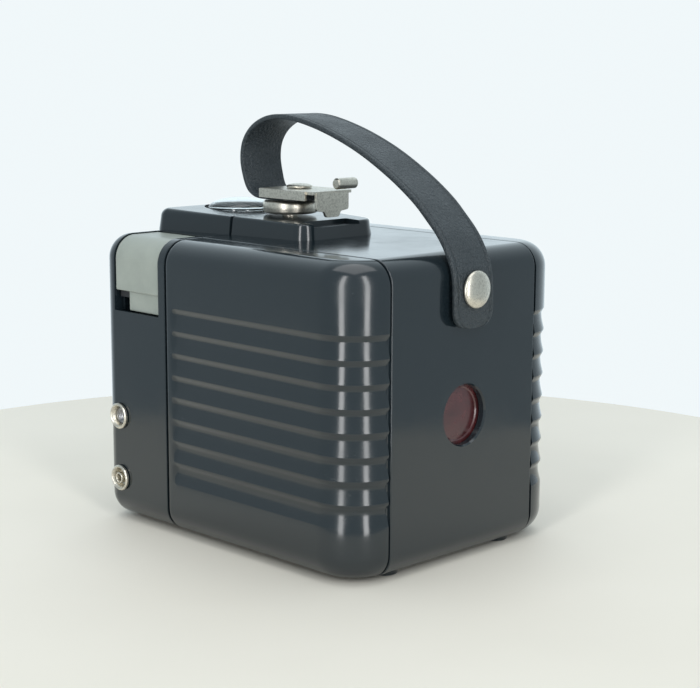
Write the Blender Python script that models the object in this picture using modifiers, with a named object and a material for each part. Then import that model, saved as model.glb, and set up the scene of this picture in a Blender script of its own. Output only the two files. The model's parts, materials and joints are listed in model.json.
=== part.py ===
"""Moulded box camera for roll film: a front unit, and a rear shell that draws off it backwards.

Frame: origin at the centre of the underside, +X to the user's right, +Y to the front, +Z up.
Sizes are in millimetres here, and the helpers turn them into metres.
"""

import math

import bmesh
import bpy
from mathutils import Matrix, Vector

MM = 0.001
GAP = 0.3  # between pieces that touch

# Body
WIDTH = 89.0
DEPTH = 110.6
TOP = 89.5
BOTTOM = 0.8  # the underside of the mouldings, which stand on low feet
WALL = 2.3
REAR_DEPTH = 79.6
HALF = WIDTH / 2
BACK = -DEPTH / 2
FRONT = DEPTH / 2
SEAM = BACK + REAR_DEPTH
BAND = 30.5  # half width of the plain band between the two lobes of the shell
SHOULDER = 7.5  # radius of the long upper edges
BELLY = 7.5  # radius of the long lower edges
CORNER = 14.0  # radius of the shell's two upright corners
BAND_EDGE = 4.0
FRONT_EDGE = 6.0
PROUD = 0.05  # how far the band stands over the lobes

# Flutes on both sides of the shell
FLUTES = 8
FLUTE_TOP = 70.0
FLUTE_PITCH = 6.7
FLUTE_DEPTH = 0.9
FLUTE_FRONT = SEAM - 2.9
GROOVE = 0.7

# Back of the shell
WINDOW_Z = 43.0
WINDOW_R = 8.7
BUTTON_Z = 79.4
STRAP_HALF = 8.1
STRAP_THICK = 1.6
STRAP_OUT = BACK - 3.2  # outer side of the strap where it hangs on the back

# Finder block on the top, in two halves
BLOCK_REAR = -5.3
BLOCK_ROOF = 92.6
FINDER_Y = 40.7
FINDER_R = 11.4

# Latch
LATCH_Y = 17.5
LATCH_R = 8.5
LATCH_Z = 95.6
PLATE_Z = 102.5
RIVET_Y = 13.4

# Film transport
WIND_Y = 8.0
WIND_Z = 72.0
KNOB_R = 11.5
SPOOL_HALF = 32.5
SPOOL_R = 11.5
SPOOL_BORE = 3.1
SUPPLY_Z = 17.0
CHEEK_X = 34.0
CHEEK_THICK = 1.2
GATE_Y = -44.0
GATE_HALF = 28.5
ROLLER_Y = -42.0
ROLLER_RISE = 36.0
ROLLER_R = 2.5

# Lens and shutter
LENS_Z = 43.5
SHUTTER_Y = 40.0
BLADE_PIVOT = (12.0, 55.0)
DRIVE_PIVOT = (20.0, 52.0)
DRIVE_TIP = (30.0, 67.0)
POSTS = ((-21.0, 60.0), (-21.0, 25.0), (21.0, 25.0))
CARRIER_POSTS = ((-30.0, 12.0), (30.0, 12.0), (-22.0, 72.0), (22.0, 72.0))
CARRIER_Y = 26.3

# Levers in the shoulders of the front unit
POCKET_Y = (27.5, 49.0)
POCKET_Z = 66.3
POCKET_FLOOR = 81.6
LEVER_Z = 72.6
LEVER_IN = 27.5

# Flash contacts on the left side
FLASH_Y = 47.2
FLASH_Z = (33.3, 13.6)

for old in list(bpy.data.objects):
    bpy.data.objects.remove(old)

parts = bpy.data.collections.new("box_camera")
cutters = bpy.data.collections.new("cutters")
bpy.context.scene.collection.children.link(parts)
bpy.context.scene.collection.children.link(cutters)


# ---------------------------------------------------------------- materials

def material(name, colour, roughness, metallic=0.0, transmission=0.0):
    made = bpy.data.materials.new(name)
    made.use_nodes = True
    shader = made.node_tree.nodes["Principled BSDF"]
    shader.inputs["Base Color"].default_value = (*colour, 1.0)
    shader.inputs["Roughness"].default_value = roughness
    shader.inputs["Metallic"].default_value = metallic
    shader.inputs["Transmission Weight"].default_value = transmission
    made.diffuse_color = (*colour, 1.0)
    made.metallic = metallic
    made.roughness = roughness
    return made


BLACK = material("black_moulding", (0.012, 0.013, 0.015), 0.12)
GREY = material("grey_plastic", (0.44, 0.47, 0.42), 0.35)
STRAP = material("strap_vinyl", (0.015, 0.017, 0.021), 0.45)
NICKEL = material("nickel", (0.62, 0.60, 0.55), 0.28, 1.0)
STEEL = material("steel", (0.42, 0.42, 0.42), 0.35, 1.0)
TIN = material("black_tin", (0.03, 0.03, 0.03), 0.45, 0.6)
BRASS = material("brass", (0.60, 0.44, 0.20), 0.35, 1.0)
RED = material("ruby_plastic", (0.14, 0.012, 0.014), 0.12)
GLASS = material("clear_lens", (0.9, 0.93, 0.93), 0.05, 0.0, 1.0)
MIRROR = material("mirror_glass", (0.85, 0.86, 0.87), 0.03, 1.0)


# ------------------------------------------------------------------ helpers

def add_object(name, mesh, look=None):
    """A piece if it has a look, and a cutter if it has none."""
    made = bpy.data.objects.new(name, mesh)
    if look is None:
        cutters.objects.link(made)
        made.hide_render = True
        made.display_type = "WIRE"
    else:
        parts.objects.link(made)
        mesh.materials.append(look)
    return made


def from_bmesh(name, bm, look=None):
    mesh = bpy.data.meshes.new(name)
    bm.to_mesh(mesh)
    bm.free()
    return add_object(name, mesh, look)


def box(name, low, high, look=None):
    bm = bmesh.new()
    bmesh.ops.create_cube(bm, size=1.0)
    for vert in bm.verts:
        for i in range(3):
            vert.co[i] = (low[i] if vert.co[i] < 0 else high[i]) * MM
    return from_bmesh(name, bm, look)


def bevel(piece, width, segments, radius_of=None):
    """Rounds every edge, or the edges that radius_of(middle, direction) gives a radius in millimetres."""
    modifier = piece.modifiers.new("bevel", "BEVEL")
    modifier.width = width * MM
    modifier.segments = segments
    modifier.use_clamp_overlap = False
    if radius_of:
        modifier.limit_method = "WEIGHT"
        mesh = piece.data
        weights = mesh.attributes.new("bevel_weight_edge", "FLOAT", "EDGE")
        for edge in mesh.edges:
            first, last = (mesh.vertices[i].co / MM for i in edge.vertices)
            weights.data[edge.index].value = radius_of((first + last) / 2, last - first) / width
    else:
        modifier.limit_method = "ANGLE"
        modifier.angle_limit = math.radians(30)
    return piece


def smooth(piece):
    piece.data.shade_smooth()
    piece.data.set_sharp_from_angle(angle=math.radians(35))
    return piece


def turned(name, profile, at, towards=(0, 0, 1), look=None, segments=32, closed=False):
    """Turns (radius, height) points, which run down the outer side, about an axis through at."""
    bm = bmesh.new()
    verts = [bm.verts.new((r * MM, 0.0, h * MM)) for r, h in profile]
    for first, last in zip(verts, verts[1:]):
        bm.edges.new((first, last))
    if closed:
        bm.edges.new((verts[-1], verts[0]))
    made = from_bmesh(name, bm, look)
    screw = made.modifiers.new("turn", "SCREW")
    screw.steps = segments
    screw.render_steps = segments
    screw.use_merge_vertices = True
    screw.merge_threshold = 0.00001
    screw.use_smooth_shade = True
    made.location = Vector(at) * MM
    made.rotation_euler = Vector((0, 0, 1)).rotation_difference(Vector(towards)).to_euler()
    return made


def rod(name, radius, at, towards, length, look=None, segments=24):
    """A plain cylinder that starts at one end."""
    return turned(name, [(0, length), (radius, length), (radius, 0), (0, 0)], at, towards, look, segments)


def circle(x, y, radius, count=32):
    angles = (2 * math.pi * i / count for i in range(count))
    return [(x + radius * math.cos(a), y + radius * math.sin(a)) for a in angles]


def rounded(corners, steps=4):
    """The outline through (x, y, radius) corners, each rounded with an arc."""
    points = []
    for i, (x, y, radius) in enumerate(corners):
        here = Vector((x, y))
        if radius == 0:
            points.append(tuple(here))
            continue
        before = (Vector(corners[i - 1][:2]) - here).normalized()
        after = (Vector(corners[(i + 1) % len(corners)][:2]) - here).normalized()
        half = before.angle(after) / 2
        centre = here + (before + after).normalized() * radius / math.sin(half)
        first = here + before * radius / math.tan(half) - centre
        last = here + after * radius / math.tan(half) - centre
        turn = first.angle_signed(last)
        for step in range(steps + 1):
            points.append(tuple(centre + Matrix.Rotation(-turn * step / steps, 2) @ first))
    return points


def rectangle(x0, y0, x1, y1, radius, steps=4):
    return rounded([(x0, y0, radius), (x1, y0, radius), (x1, y1, radius), (x0, y1, radius)], steps)


def capsule(first, last, first_radius, last_radius, steps=10):
    """Two round ends joined by straight sides."""
    run = Vector(last) - Vector(first)
    heading = math.atan2(run.y, run.x)
    points = []
    right_angle = math.pi / 2
    ends = ((first, first_radius, heading + right_angle), (last, last_radius, heading - right_angle))
    for centre, radius, start in ends:
        for step in range(steps + 1):
            angle = start + math.pi * step / steps
            points.append((centre[0] + radius * math.cos(angle), centre[1] + radius * math.sin(angle)))
    return points


PLANES = {
    "XY": Matrix(((1, 0, 0), (0, 1, 0), (0, 0, 1))),
    "XZ": Matrix(((1, 0, 0), (0, 0, -1), (0, 1, 0))),
    "YZ": Matrix(((0, 0, 1), (1, 0, 0), (0, 1, 0))),
}


def mesh_of(curve_object):
    """The curve as a closed mesh in world space; the curve itself is removed."""
    bpy.context.view_layer.update()
    graph = bpy.context.evaluated_depsgraph_get()
    mesh = bpy.data.meshes.new_from_object(curve_object.evaluated_get(graph))
    mesh.transform(curve_object.matrix_world)
    bm = bmesh.new()
    bm.from_mesh(mesh)
    bmesh.ops.remove_doubles(bm, verts=bm.verts, dist=0.000001)
    bmesh.ops.recalc_face_normals(bm, faces=bm.faces)
    bm.to_mesh(mesh)
    bm.free()
    bpy.data.objects.remove(curve_object)
    return mesh


def new_curve(name, dimensions="2D"):
    data = bpy.data.curves.new(name, "CURVE")
    data.dimensions = dimensions
    made = bpy.data.objects.new(name, data)
    cutters.objects.link(made)
    return made


def add_spline(curve_object, points, closed):
    spline = curve_object.data.splines.new("POLY")
    spline.points.add(len(points) - 1)
    for place, point in zip(spline.points, points):
        place.co = (*(value * MM for value in (*point, 0)[:3]), 1.0)
    spline.use_cyclic_u = closed


def extruded(name, outlines, plane, low, high, look=None):
    """Flat outlines, the later ones being holes, thickened from low to high along the third axis."""
    made = new_curve(name)
    made.data.fill_mode = "BOTH"
    made.data.extrude = (high - low) / 2 * MM
    for outline in outlines:
        add_spline(made, outline, True)
    turn = PLANES[plane].to_4x4()
    normal = Vector({"XY": (0, 0, 1), "XZ": (0, 1, 0), "YZ": (1, 0, 0)}[plane])
    made.matrix_world = Matrix.Translation(normal * (low + high) / 2 * MM) @ turn
    return add_object(name, mesh_of(made), look)


def joined(piece, others, operation):
    """One Boolean modifier for one object, or for a collection of several."""
    modifier = piece.modifiers.new(others[0].name, "BOOLEAN")
    modifier.operation = operation
    if len(others) == 1:
        modifier.object = others[0]
        return piece
    group = bpy.data.collections.new(f"{piece.name}_{operation.lower()}")
    cutters.children.link(group)
    for other in others:
        cutters.objects.unlink(other)
        group.objects.link(other)
    modifier.operand_type = "COLLECTION"
    modifier.collection = group
    return piece


def cut(piece, *others):
    return joined(piece, others, "DIFFERENCE")


def add(piece, *others):
    return joined(piece, others, "UNION")


def pivot(name, point, *pieces):
    """An empty on a joint's axis that carries the pieces which move about it or along it."""
    empty = bpy.data.objects.new(name, None)
    empty.empty_display_size = 0.005
    empty.location = Vector(point) * MM
    parts.objects.link(empty)
    bpy.context.view_layer.update()
    for piece in pieces:
        piece.parent = empty
        piece.matrix_parent_inverse = empty.matrix_world.inverted()
    return empty


def moulding_radius(top, bottom, corner, upper_edge, lower_edge, end):
    """Edge radii of a moulding: its long edges, and the edges of its end face at y = end."""
    def radius_of(middle, direction):
        upper = middle.z > TOP / 2
        if abs(direction.y) > 1:
            return top if upper else bottom
        if abs(middle.y - end) > 0.2:
            return 0.0
        if abs(direction.z) > 1:
            return corner
        return upper_edge if upper else lower_edge
    return radius_of


def moulding(name, low, high, radii, end, look=None, segments=6):
    made = box(name, low, high, look)
    bevel(made, max(radii), segments, moulding_radius(*radii, end))
    made.modifiers.new("flat_faces", "TRIANGULATE")
    return made


def finder_block(name, rear, front, rear_half, front_half, rear_rise, front_rise, corner):
    """A low raised block on the top, wider and higher at the front, with drafted sides."""
    made = box(name, (-1, rear, TOP - 1.5), (1, front, TOP + 1))
    for vert in made.data.vertices:
        at_front = vert.co.y > (rear + front) / 2 * MM
        high = vert.co.z > TOP * MM
        half = (front_half if at_front else rear_half) - (0.8 if high else 0.0)
        vert.co.x = math.copysign(half * MM, vert.co.x)
        if high:
            vert.co.z = (TOP + (front_rise if at_front else rear_rise)) * MM

    def radius_of(middle, direction):
        if abs(direction.z) > 3:
            return corner if middle.y < rear + 1 else 0.0
        return 0.8 if middle.z > TOP + 3 else 0.0

    return bevel(made, max(corner, 0.8), 4, radius_of)


# --------------------------------------------------------------- rear shell

def flute_cutter(side):
    """A long lens-shaped cutter that follows one side and its back corner, at z = 0."""
    reach = FLUTE_PITCH / 2 - 0.05
    section = new_curve("flute_section")
    arc = [math.pi * i / 5 for i in range(1, 5)]
    right = [(FLUTE_DEPTH * math.sin(a), -reach * math.cos(a)) for a in arc]
    left = [(-x, -y) for x, y in right]
    add_spline(section, [(0, -reach), *right, (0, reach), *left], True)
    path = new_curve("flute_path")
    run = CORNER + PROUD
    bends = [math.pi / 2 * i / 6 for i in range(7)]
    points = [(side * (HALF + PROUD), FLUTE_FRONT)]
    points += [
        (side * (HALF - CORNER + run * math.cos(a)), BACK + CORNER - run * math.sin(a)) for a in bends
    ]
    add_spline(path, points, False)
    path.data.bevel_mode = "OBJECT"
    path.data.bevel_object = section
    path.data.use_fill_caps = True
    mesh = mesh_of(path)
    bpy.data.objects.remove(section)
    return mesh


def groove_cutter(name, x):
    """A thin frame that cuts the line between a lobe and the band, over the top, back and underside."""
    low = BOTTOM + GROOVE
    high = TOP - GROOVE
    back = BACK + GROOVE
    inner = rounded([(back, low, BELLY), (SEAM + 9, low, 0), (SEAM + 9, high, 0), (back, high, SHOULDER)])
    outer = rectangle(BACK - 9, BOTTOM - 9, SEAM + 10, TOP + 9, 1)
    return extruded(name, [outer, inner], "YZ", x - GROOVE / 2, x + GROOVE / 2)


def feet(name, y):
    """Two low round feet."""
    profile = [(0, BOTTOM + 1), (4.0, BOTTOM + 1), (4.0, 0.2), (3.8, 0), (0, 0)]
    sides = (("left", -24), ("right", 24))
    return [turned(f"{name}_{side}", profile, (x, y, 0), segments=20) for side, x in sides]


def make_rear_shell():
    front = SEAM - GAP
    shell = moulding("rear_shell", (-HALF, BACK, BOTTOM), (HALF, front, TOP),
                     (SHOULDER, BELLY, CORNER, SHOULDER, BELLY), BACK, BLACK, 6)
    band = moulding("band", (-BAND, BACK - PROUD, BOTTOM - PROUD), (BAND, front - PROUD, TOP + PROUD),
                    (0.0, 0.0, 0.0, BAND_EDGE, BAND_EDGE), BACK - PROUD, None, 4)
    add(shell, band)
    lines = []
    for side, name in ((-1, "left"), (1, "right")):
        lines.append(groove_cutter("groove_" + name, side * BAND))
        mesh = flute_cutter(side)
        for i in range(FLUTES):
            flute = add_object(f"flute_{name}_{i}", mesh)
            flute.location.z = (FLUTE_TOP - FLUTE_PITCH * (i + 0.5)) * MM
            lines.append(flute)
    cut(shell, *lines)
    boss = rod("knob_boss", 12.8, (34, WIND_Y, WIND_Z), (1, 0, 0), HALF + 0.8 - 34, segments=40)
    block = finder_block("rear_block", BLOCK_REAR, front, 15.3, 18.6, 4.8, 5.6, 5.6)
    cut(block, box("stop_notch", (-11.0, BLOCK_REAR - 3, 93.2), (8.0, 1.2, 99)))
    pad = box("base_pad", (-12, -12, 0), (12, 12, BOTTOM + 1))
    add(shell, boss, block, pad, *feet("rear_foot", BACK + 8.5))
    inner = WALL
    cavity = moulding("shell_cavity", (-HALF + inner, BACK + inner, BOTTOM + inner),
                      (HALF - inner, SEAM + 9, TOP - inner),
                      (SHOULDER - inner, BELLY - inner, CORNER - inner, SHOULDER - inner, BELLY - inner),
                      BACK + inner, None, 4)
    slack = PROUD / 2
    band_cavity = moulding("band_cavity", (-BAND + 2, BACK + inner - slack, BOTTOM + inner - slack),
                           (BAND - 2, SEAM + 8, TOP - inner + slack), (0.0, 0.0, 0.0, 2.0, 2.0),
                           BACK + inner - slack, None, 2)
    pocket = box("block_hollow", (-11.5, 2.5, TOP - inner - 1), (11.5, SEAM + 5, BLOCK_ROOF))
    spindle_hole = rod("spindle_hole", 2.8, (0, LATCH_Y, 85), (0, 0, 1), 15)
    window_hole = rod("window_hole", WINDOW_R, (0, BACK - 5, WINDOW_Z), (0, 1, 0), 10, segments=40)
    button_hole = rod("button_hole", 2.3, (0, BACK - 5, BUTTON_Z), (0, 1, 0), 10)
    sleeve_hole = rod("sleeve_hole", 4.6, (30, WIND_Y, WIND_Z), (1, 0, 0), 30)
    cut(shell, cavity, band_cavity, pocket, spindle_hole, window_hole, button_hole, sleeve_hole)
    return smooth(shell)


def make_back_fittings():
    disc_y = BACK + WALL + GAP
    turned("ruby_window", [(0, 1.4), (7.0, 1.4), (7.2, 1.2), (10.4, 1.2), (10.4, 0), (0, 0)],
           (0, disc_y, WINDOW_Z), (0, 1, 0), RED, 32)
    turned("window_frame", [(8.0, 2.6), (12.6, 2.6), (12.6, 0), (10.8, 0), (10.8, 1.6), (8.0, 1.6)],
           (0, disc_y, WINDOW_Z), (0, 1, 0), TIN, 24, closed=True)
    dome = [(5.35 * math.sin(a), 1.9 * math.cos(a)) for a in (math.pi / 2 * i / 4 for i in range(5))]
    head = STRAP_OUT - 2 * GAP
    turned("strap_button", [*dome, (5.2, -0.5), (1.9, -0.5), (1.9, -8.6), (0, -8.6)],
           (0, head, BUTTON_Z), (0, -1, 0), NICKEL, 24)
    turned("strap_spacer", [(2.2, 0.6), (4.0, 0.6), (4.0, 0), (2.2, 0)],
           (0, BACK - 0.9, BUTTON_Z), (0, 1, 0), NICKEL, 24, closed=True)
    turned("strap_washer", [(2.2, 0.8), (5.5, 0.8), (5.5, 0), (2.2, 0)],
           (0, BACK + WALL + GAP, BUTTON_Z), (0, 1, 0), STEEL, 24, closed=True)


# ------------------------------------------------------------ carrying strap

STRAP_ROUTE = (
    (STRAP_OUT, 68.5), (STRAP_OUT, 74.5), (STRAP_OUT + 0.15, 80.5), (-57.6, 85.2), (-55.6, 89.9),
    (-52.3, 94.8), (-47.8, 99.4), (-42.3, 104.3), (-33.2, 110.4), (-21.2, 116.8), (-8.4, 121.8),
    (4.0, 125.1), (13.2, 126.1),
    (20.8, 125.2), (27.0, 122.2), (30.9, 117.6), (32.0, 112.0), (30.9, 106.4),
)
STRAP_TAIL = ((30.6, 105.6), (29.2, 102.6), (26.6, 100.7), (23.2, 100.0), (16.0, 100.0), (8.0, 100.0))


def smooth_route(points, steps=3):
    """More points between the given ones, on a Catmull-Rom curve."""
    ends = [points[0], *points, points[-1]]
    route = []
    for i in range(len(points) - 1):
        a, b, c, d = (Vector(p) for p in ends[i:i + 4])
        for step in range(steps):
            t = step / steps
            route.append(tuple(0.5 * ((2 * b) + (c - a) * t + (2 * a - 5 * b + 4 * c - d) * t * t
                                      + (3 * b - a - 3 * c + d) * t ** 3)))
    return [*route, points[-1]]


def ribbon(name, route, half, thickness, look):
    """A strap whose outer side follows (y, z) points; its thickness goes inwards."""
    made = new_curve(name)
    made.data.extrude = half * MM
    add_spline(made, route, False)
    made.matrix_world = PLANES["YZ"].to_4x4()
    bpy.context.view_layer.update()
    graph = bpy.context.evaluated_depsgraph_get()
    mesh = bpy.data.meshes.new_from_object(made.evaluated_get(graph))
    mesh.transform(made.matrix_world)
    bpy.data.objects.remove(made)
    strap = add_object(name, mesh, look)
    shell = strap.modifiers.new("thickness", "SOLIDIFY")
    shell.thickness = thickness * MM
    shell.offset = -1.0
    shell.use_even_offset = True
    return strap


def make_strap():
    strap = ribbon("strap", smooth_route(STRAP_ROUTE), STRAP_HALF, STRAP_THICK, STRAP)
    cut(strap, rod("strap_hole", 2.3, (0, BACK - 9, BUTTON_Z), (0, 1, 0), 9))
    frame = rectangle(-STRAP_HALF - 9, 40, STRAP_HALF + 9, 90, 1)
    low = STRAP_ROUTE[0][1] + 0.02
    tongue = rounded([(-STRAP_HALF, low, 5), (STRAP_HALF, low, 5), (STRAP_HALF, 88, 0), (-STRAP_HALF, 88, 0)])
    cut(strap, extruded("strap_end_trim", [frame, tongue], "XZ", BACK - 12, BACK - 0.2))
    tail = ribbon("strap_tail", smooth_route(STRAP_TAIL), STRAP_HALF - 0.3, STRAP_THICK, STRAP)
    cut(tail, rod("tail_hole", 1.9, (0, RIVET_Y, 95), (0, 0, 1), 12))
    return tail


# -------------------------------------------------------------------- latch

def make_latch(tail):
    height = 99.6 - LATCH_Z
    foot = 86.0 - LATCH_Z
    profile = [(0, height), (7.6, height), (8.3, height - 0.5), (LATCH_R, height - 1.2), (LATCH_R, 1.0)]
    profile += [(8.1, 0.2), (7.4, 0), (2.4, 0), (2.4, foot), (0, foot)]
    disc = turned("latch_disc", profile, (0, LATCH_Y, LATCH_Z), (0, 0, 1), NICKEL, 28)
    cut(disc, rod("rivet_socket", 1.8, (0, RIVET_Y, 97.4), (0, 0, 1), 5, segments=16))
    plate = box("latch_plate", (-8.1, -1.1, PLATE_Z), (8.1, 22.4, PLATE_Z + 0.9), NICKEL)
    flanges = []
    for side, name in ((-1, "left"), (1, "right")):
        inner, outer = sorted((side * 8.0, side * 8.7))
        flanges.append(box("plate_flange_" + name, (inner, 1.8, 100.6), (outer, 22.35, PLATE_Z + 0.85)))
    corners = [(-6.7, 103.0, 0), (6.7, 103.0, 0), (6.7, 97.6, 0.8), (3.4, 97.2, 1.0)]
    corners += [(2.6, 95.5, 1.0), (-2.6, 95.5, 1.0), (-3.4, 97.2, 1.0), (-6.7, 97.6, 0.8)]
    lip = extruded("plate_lip", [rounded(corners, 3)], "XZ", -1.35, -0.4)
    add(plate, lip, *flanges)
    cut(plate, rod("rivet_hole", 1.9, (0, RIVET_Y, 95), (0, 0, 1), 12, segments=16))
    dome = [(4.0 * math.sin(a), 0.9 * math.cos(a)) for a in (math.pi / 2 * i / 4 for i in range(5))]
    rivet = turned("latch_rivet", [*dome, (3.9, -0.3), (1.5, -0.3), (1.5, -6.0), (0, -6.0)],
                   (0, RIVET_Y, 104.0), (0, 0, 1), NICKEL, 24)
    roll = turned("latch_roll", [(0, 8.2), (1.3, 8.2), (1.7, 7.9), (1.7, 0.3), (1.3, 0), (0, 0)],
                  (1.5, -1.0, 105.4), (1, 0, 0), NICKEL, 20)
    tongue = capsule((0, LATCH_Y), (0, LATCH_Y + 5.2), 4.4, 2.6)
    cam = extruded("latch_cam", [tongue, circle(0, LATCH_Y, 2.7, 20)], "XY", 88.0, 89.5, STEEL)
    ring = [(2.7, 1.0), (4.2, 1.0), (4.2, 0), (2.7, 0)]
    clip = turned("latch_clip", ring, (0, LATCH_Y, 86.6), (0, 0, 1), STEEL, 20, closed=True)
    pivot("latch_axis", (0, LATCH_Y, PLATE_Z), disc, plate, rivet, roll, cam, clip, tail)


# ------------------------------------------------------------- winding knob

def make_winder():
    sleeve_out = HALF + 0.8
    end = sleeve_out + 0.5
    profile = [(2.9, end), (4.2, end), (4.2, 41.5), (6.2, 41.5), (6.2, 40.5), (2.9, 40.5)]
    sleeve = turned("winding_sleeve", profile, (0, WIND_Y, WIND_Z), (1, 0, 0), BRASS, 24, closed=True)
    knob_in = sleeve_out + 1.0
    rim = [(KNOB_R - 1.2, 7.0), (KNOB_R - 0.3, 6.6), (KNOB_R, 5.8), (KNOB_R, 0.6), (KNOB_R - 0.6, 0)]
    knob = turned("winding_knob", [(0, 6.0), (KNOB_R - 3.2, 6.0), (KNOB_R - 2.4, 7.0), *rim, (2.5, 0),
                                   (2.5, 34.4 - knob_in), (0, 34.4 - knob_in)],
                  (knob_in, WIND_Y, WIND_Z), (1, 0, 0), BLACK, 32)
    notches = []
    for i in range(16):
        angle = 2 * math.pi * i / 16
        out = KNOB_R + 0.45
        place = (knob_in + 0.9, WIND_Y + out * math.cos(angle), WIND_Z + out * math.sin(angle))
        notches.append(rod(f"knob_notch_{i}", 0.8, place, (1, 0, 0), 4.6, segments=5))
    cut(knob, *notches)
    add(knob, box("knob_key", (30.8, WIND_Y - 2.3, WIND_Z - 0.5), (35.5, WIND_Y + 2.3, WIND_Z + 0.5)))
    pivot("winding_axis", (knob_in, WIND_Y, WIND_Z), sleeve, knob)


# ------------------------------------------------------------ front housing

def mirrored_boxes(name, low, high):
    """The same box on the left and on the right."""
    right = box(name + "_right", low, high)
    left = box(name + "_left", (-high[0], low[1], low[2]), (-low[0], high[1], high[2]))
    return [left, right]


def make_front_housing():
    rear = SEAM + GAP
    housing = moulding("front_housing", (-HALF, rear, BOTTOM), (HALF, FRONT, TOP),
                       (SHOULDER, BELLY, FRONT_EDGE, FRONT_EDGE, FRONT_EDGE), FRONT, BLACK, 5)
    step = WALL + 0.4
    lip = moulding("light_lip", (-HALF + step, SEAM - 3, BOTTOM + step), (HALF - step, rear + 4, TOP - step),
                   (SHOULDER - step, BELLY - step, 0, 0, 0), FRONT, None, 5)
    block = finder_block("front_block", rear, 54.6, 19.0, 25.5, 5.6, 6.8, 0.0)
    tower = bevel(box("finder_tower", (-13, 48, 67.5), (13, FRONT + 0.3, 94.6)), 1.2, 3)
    add(housing, lip, block, tower, *feet("front_foot", FRONT - 11))
    low_room = box("low_room", (-40.4, 15, 4.4), (40.4, 52.8, 61))
    corners = [(-38, 58), (38, 58), (38, 72), (31.5, 79.5), (-31.5, 79.5), (-38, 72)]
    high_room = extruded("high_room", [corners], "XZ", 15.1, 52.8)
    finder_room = box("finder_room", (-13.4, 15, 60), (13.4, 52.4, BLOCK_ROOF))
    cut(housing, low_room, high_room, finder_room)
    posts = [
        rod(f"shutter_post_{i}", 2.7, (x, SHUTTER_Y + 1.5, z), (0, 1, 0), 12, segments=16)
        for i, (x, z) in enumerate(POSTS)
    ]
    posts += [
        rod(f"carrier_post_{i}", 3.0, (x, CARRIER_Y + 2.3, z), (0, 1, 0), 25, segments=16)
        for i, (x, z) in enumerate(CARRIER_POSTS)
    ]
    add(housing, *posts, box("spring_ledge", (32.5, 44.8, 57.5), (41.5, 49.4, 60.6)))
    holes = mirrored_boxes("arm_slot", (31, 41.2, 65.4), (43, 48.4, 78))
    for side, name in ((-1, "left"), (1, "right")):
        inner = LEVER_IN - 0.5
        step = [(41, POCKET_Z), (50, POCKET_Z), (50, 99), (inner, 99), (inner, POCKET_FLOOR),
                (31, POCKET_FLOOR), (41, POCKET_FLOOR - 8)]
        holes.append(extruded("pocket_" + name, [[(side * x, z) for x, z in step]], "XZ", *POCKET_Y))
    holes += [
        extruded("plate_recess", [rectangle(-30.4, 16.6, 30.4, 65.9, 5.4)], "XZ", 54.0, 60),
        rod("lens_hole", 10.2, (0, 50, LENS_Z), (0, 1, 0), 12, segments=40),
        box("finder_window", (-8, 50, 72), (8, 60, 87)),
        box("finder_window_seat", (-9.5, 54.3, 70.5), (9.5, 60, 88.5)),
        rod("finder_top_hole", FINDER_R - 0.9, (0, FINDER_Y, 88), (0, 0, 1), 15, segments=40),
        rod("finder_top_seat", FINDER_R + 0.3, (0, FINDER_Y, 93.3), (0, 0, 1), 9, segments=40),
    ]
    for i, (x, z) in enumerate(POSTS):
        holes.append(rod(f"shutter_thread_{i}", 1.5, (x, SHUTTER_Y, z), (0, 1, 0), 8, segments=12))
    for i, (x, z) in enumerate(CARRIER_POSTS):
        holes.append(rod(f"carrier_thread_{i}", 1.5, (x, CARRIER_Y, z), (0, 1, 0), 10, segments=12))
    for i, x in enumerate((-25, 25)):
        holes.append(rod(f"face_thread_{i}", 1.2, (x, 51, LENS_Z), (0, 1, 0), 8, segments=12))
    for i, z in enumerate(FLASH_Z):
        holes.append(rod(f"flash_hole_{i}", 3.4, (-50, FLASH_Y, z), (1, 0, 0), 12, segments=24))
    cut(housing, *holes)
    return smooth(housing)


def make_lever(name, side, lower_part):
    """A cap that follows the shoulder of the front unit, with an arm that reaches the shutter."""
    inset = 0.35
    thick = 2.2
    outer = moulding(name, (-HALF + inset, 20, BOTTOM), (HALF - inset, 60, TOP - inset),
                     (SHOULDER - inset, BELLY, 0, 0, 0), 0, GREY, 8)
    inner = inset + thick
    core = moulding(name + "_core", (-HALF + inner, 19, BOTTOM - 9), (HALF - inner, 61, TOP - inner),
                    (SHOULDER - inner, BELLY, 0, 0, 0), 0, None, 8)
    ends = sorted((side * LEVER_IN, side * 60))
    region = box(name + "_region", (ends[0], POCKET_Y[0] + GAP, LEVER_Z), (ends[1], POCKET_Y[1] - GAP, 99))
    cut(outer, core)
    joined(outer, [region], "INTERSECT")
    arm = sorted((side * 29, side * 42.8))
    add(outer, box(name + "_arm", (arm[0], 41.5, 70.5), (arm[1], 48.0, 73.2)))
    if lower_part:
        step = sorted((side * 41.4, side * 43.3))
        add(outer, box(name + "_step", (step[0], POCKET_Y[0] + GAP, POCKET_Z + GAP), (step[1], 43.2, 75)))
    pivot(name + "_slide", (side * 40, 38, 80), outer)
    return smooth(outer)


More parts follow.
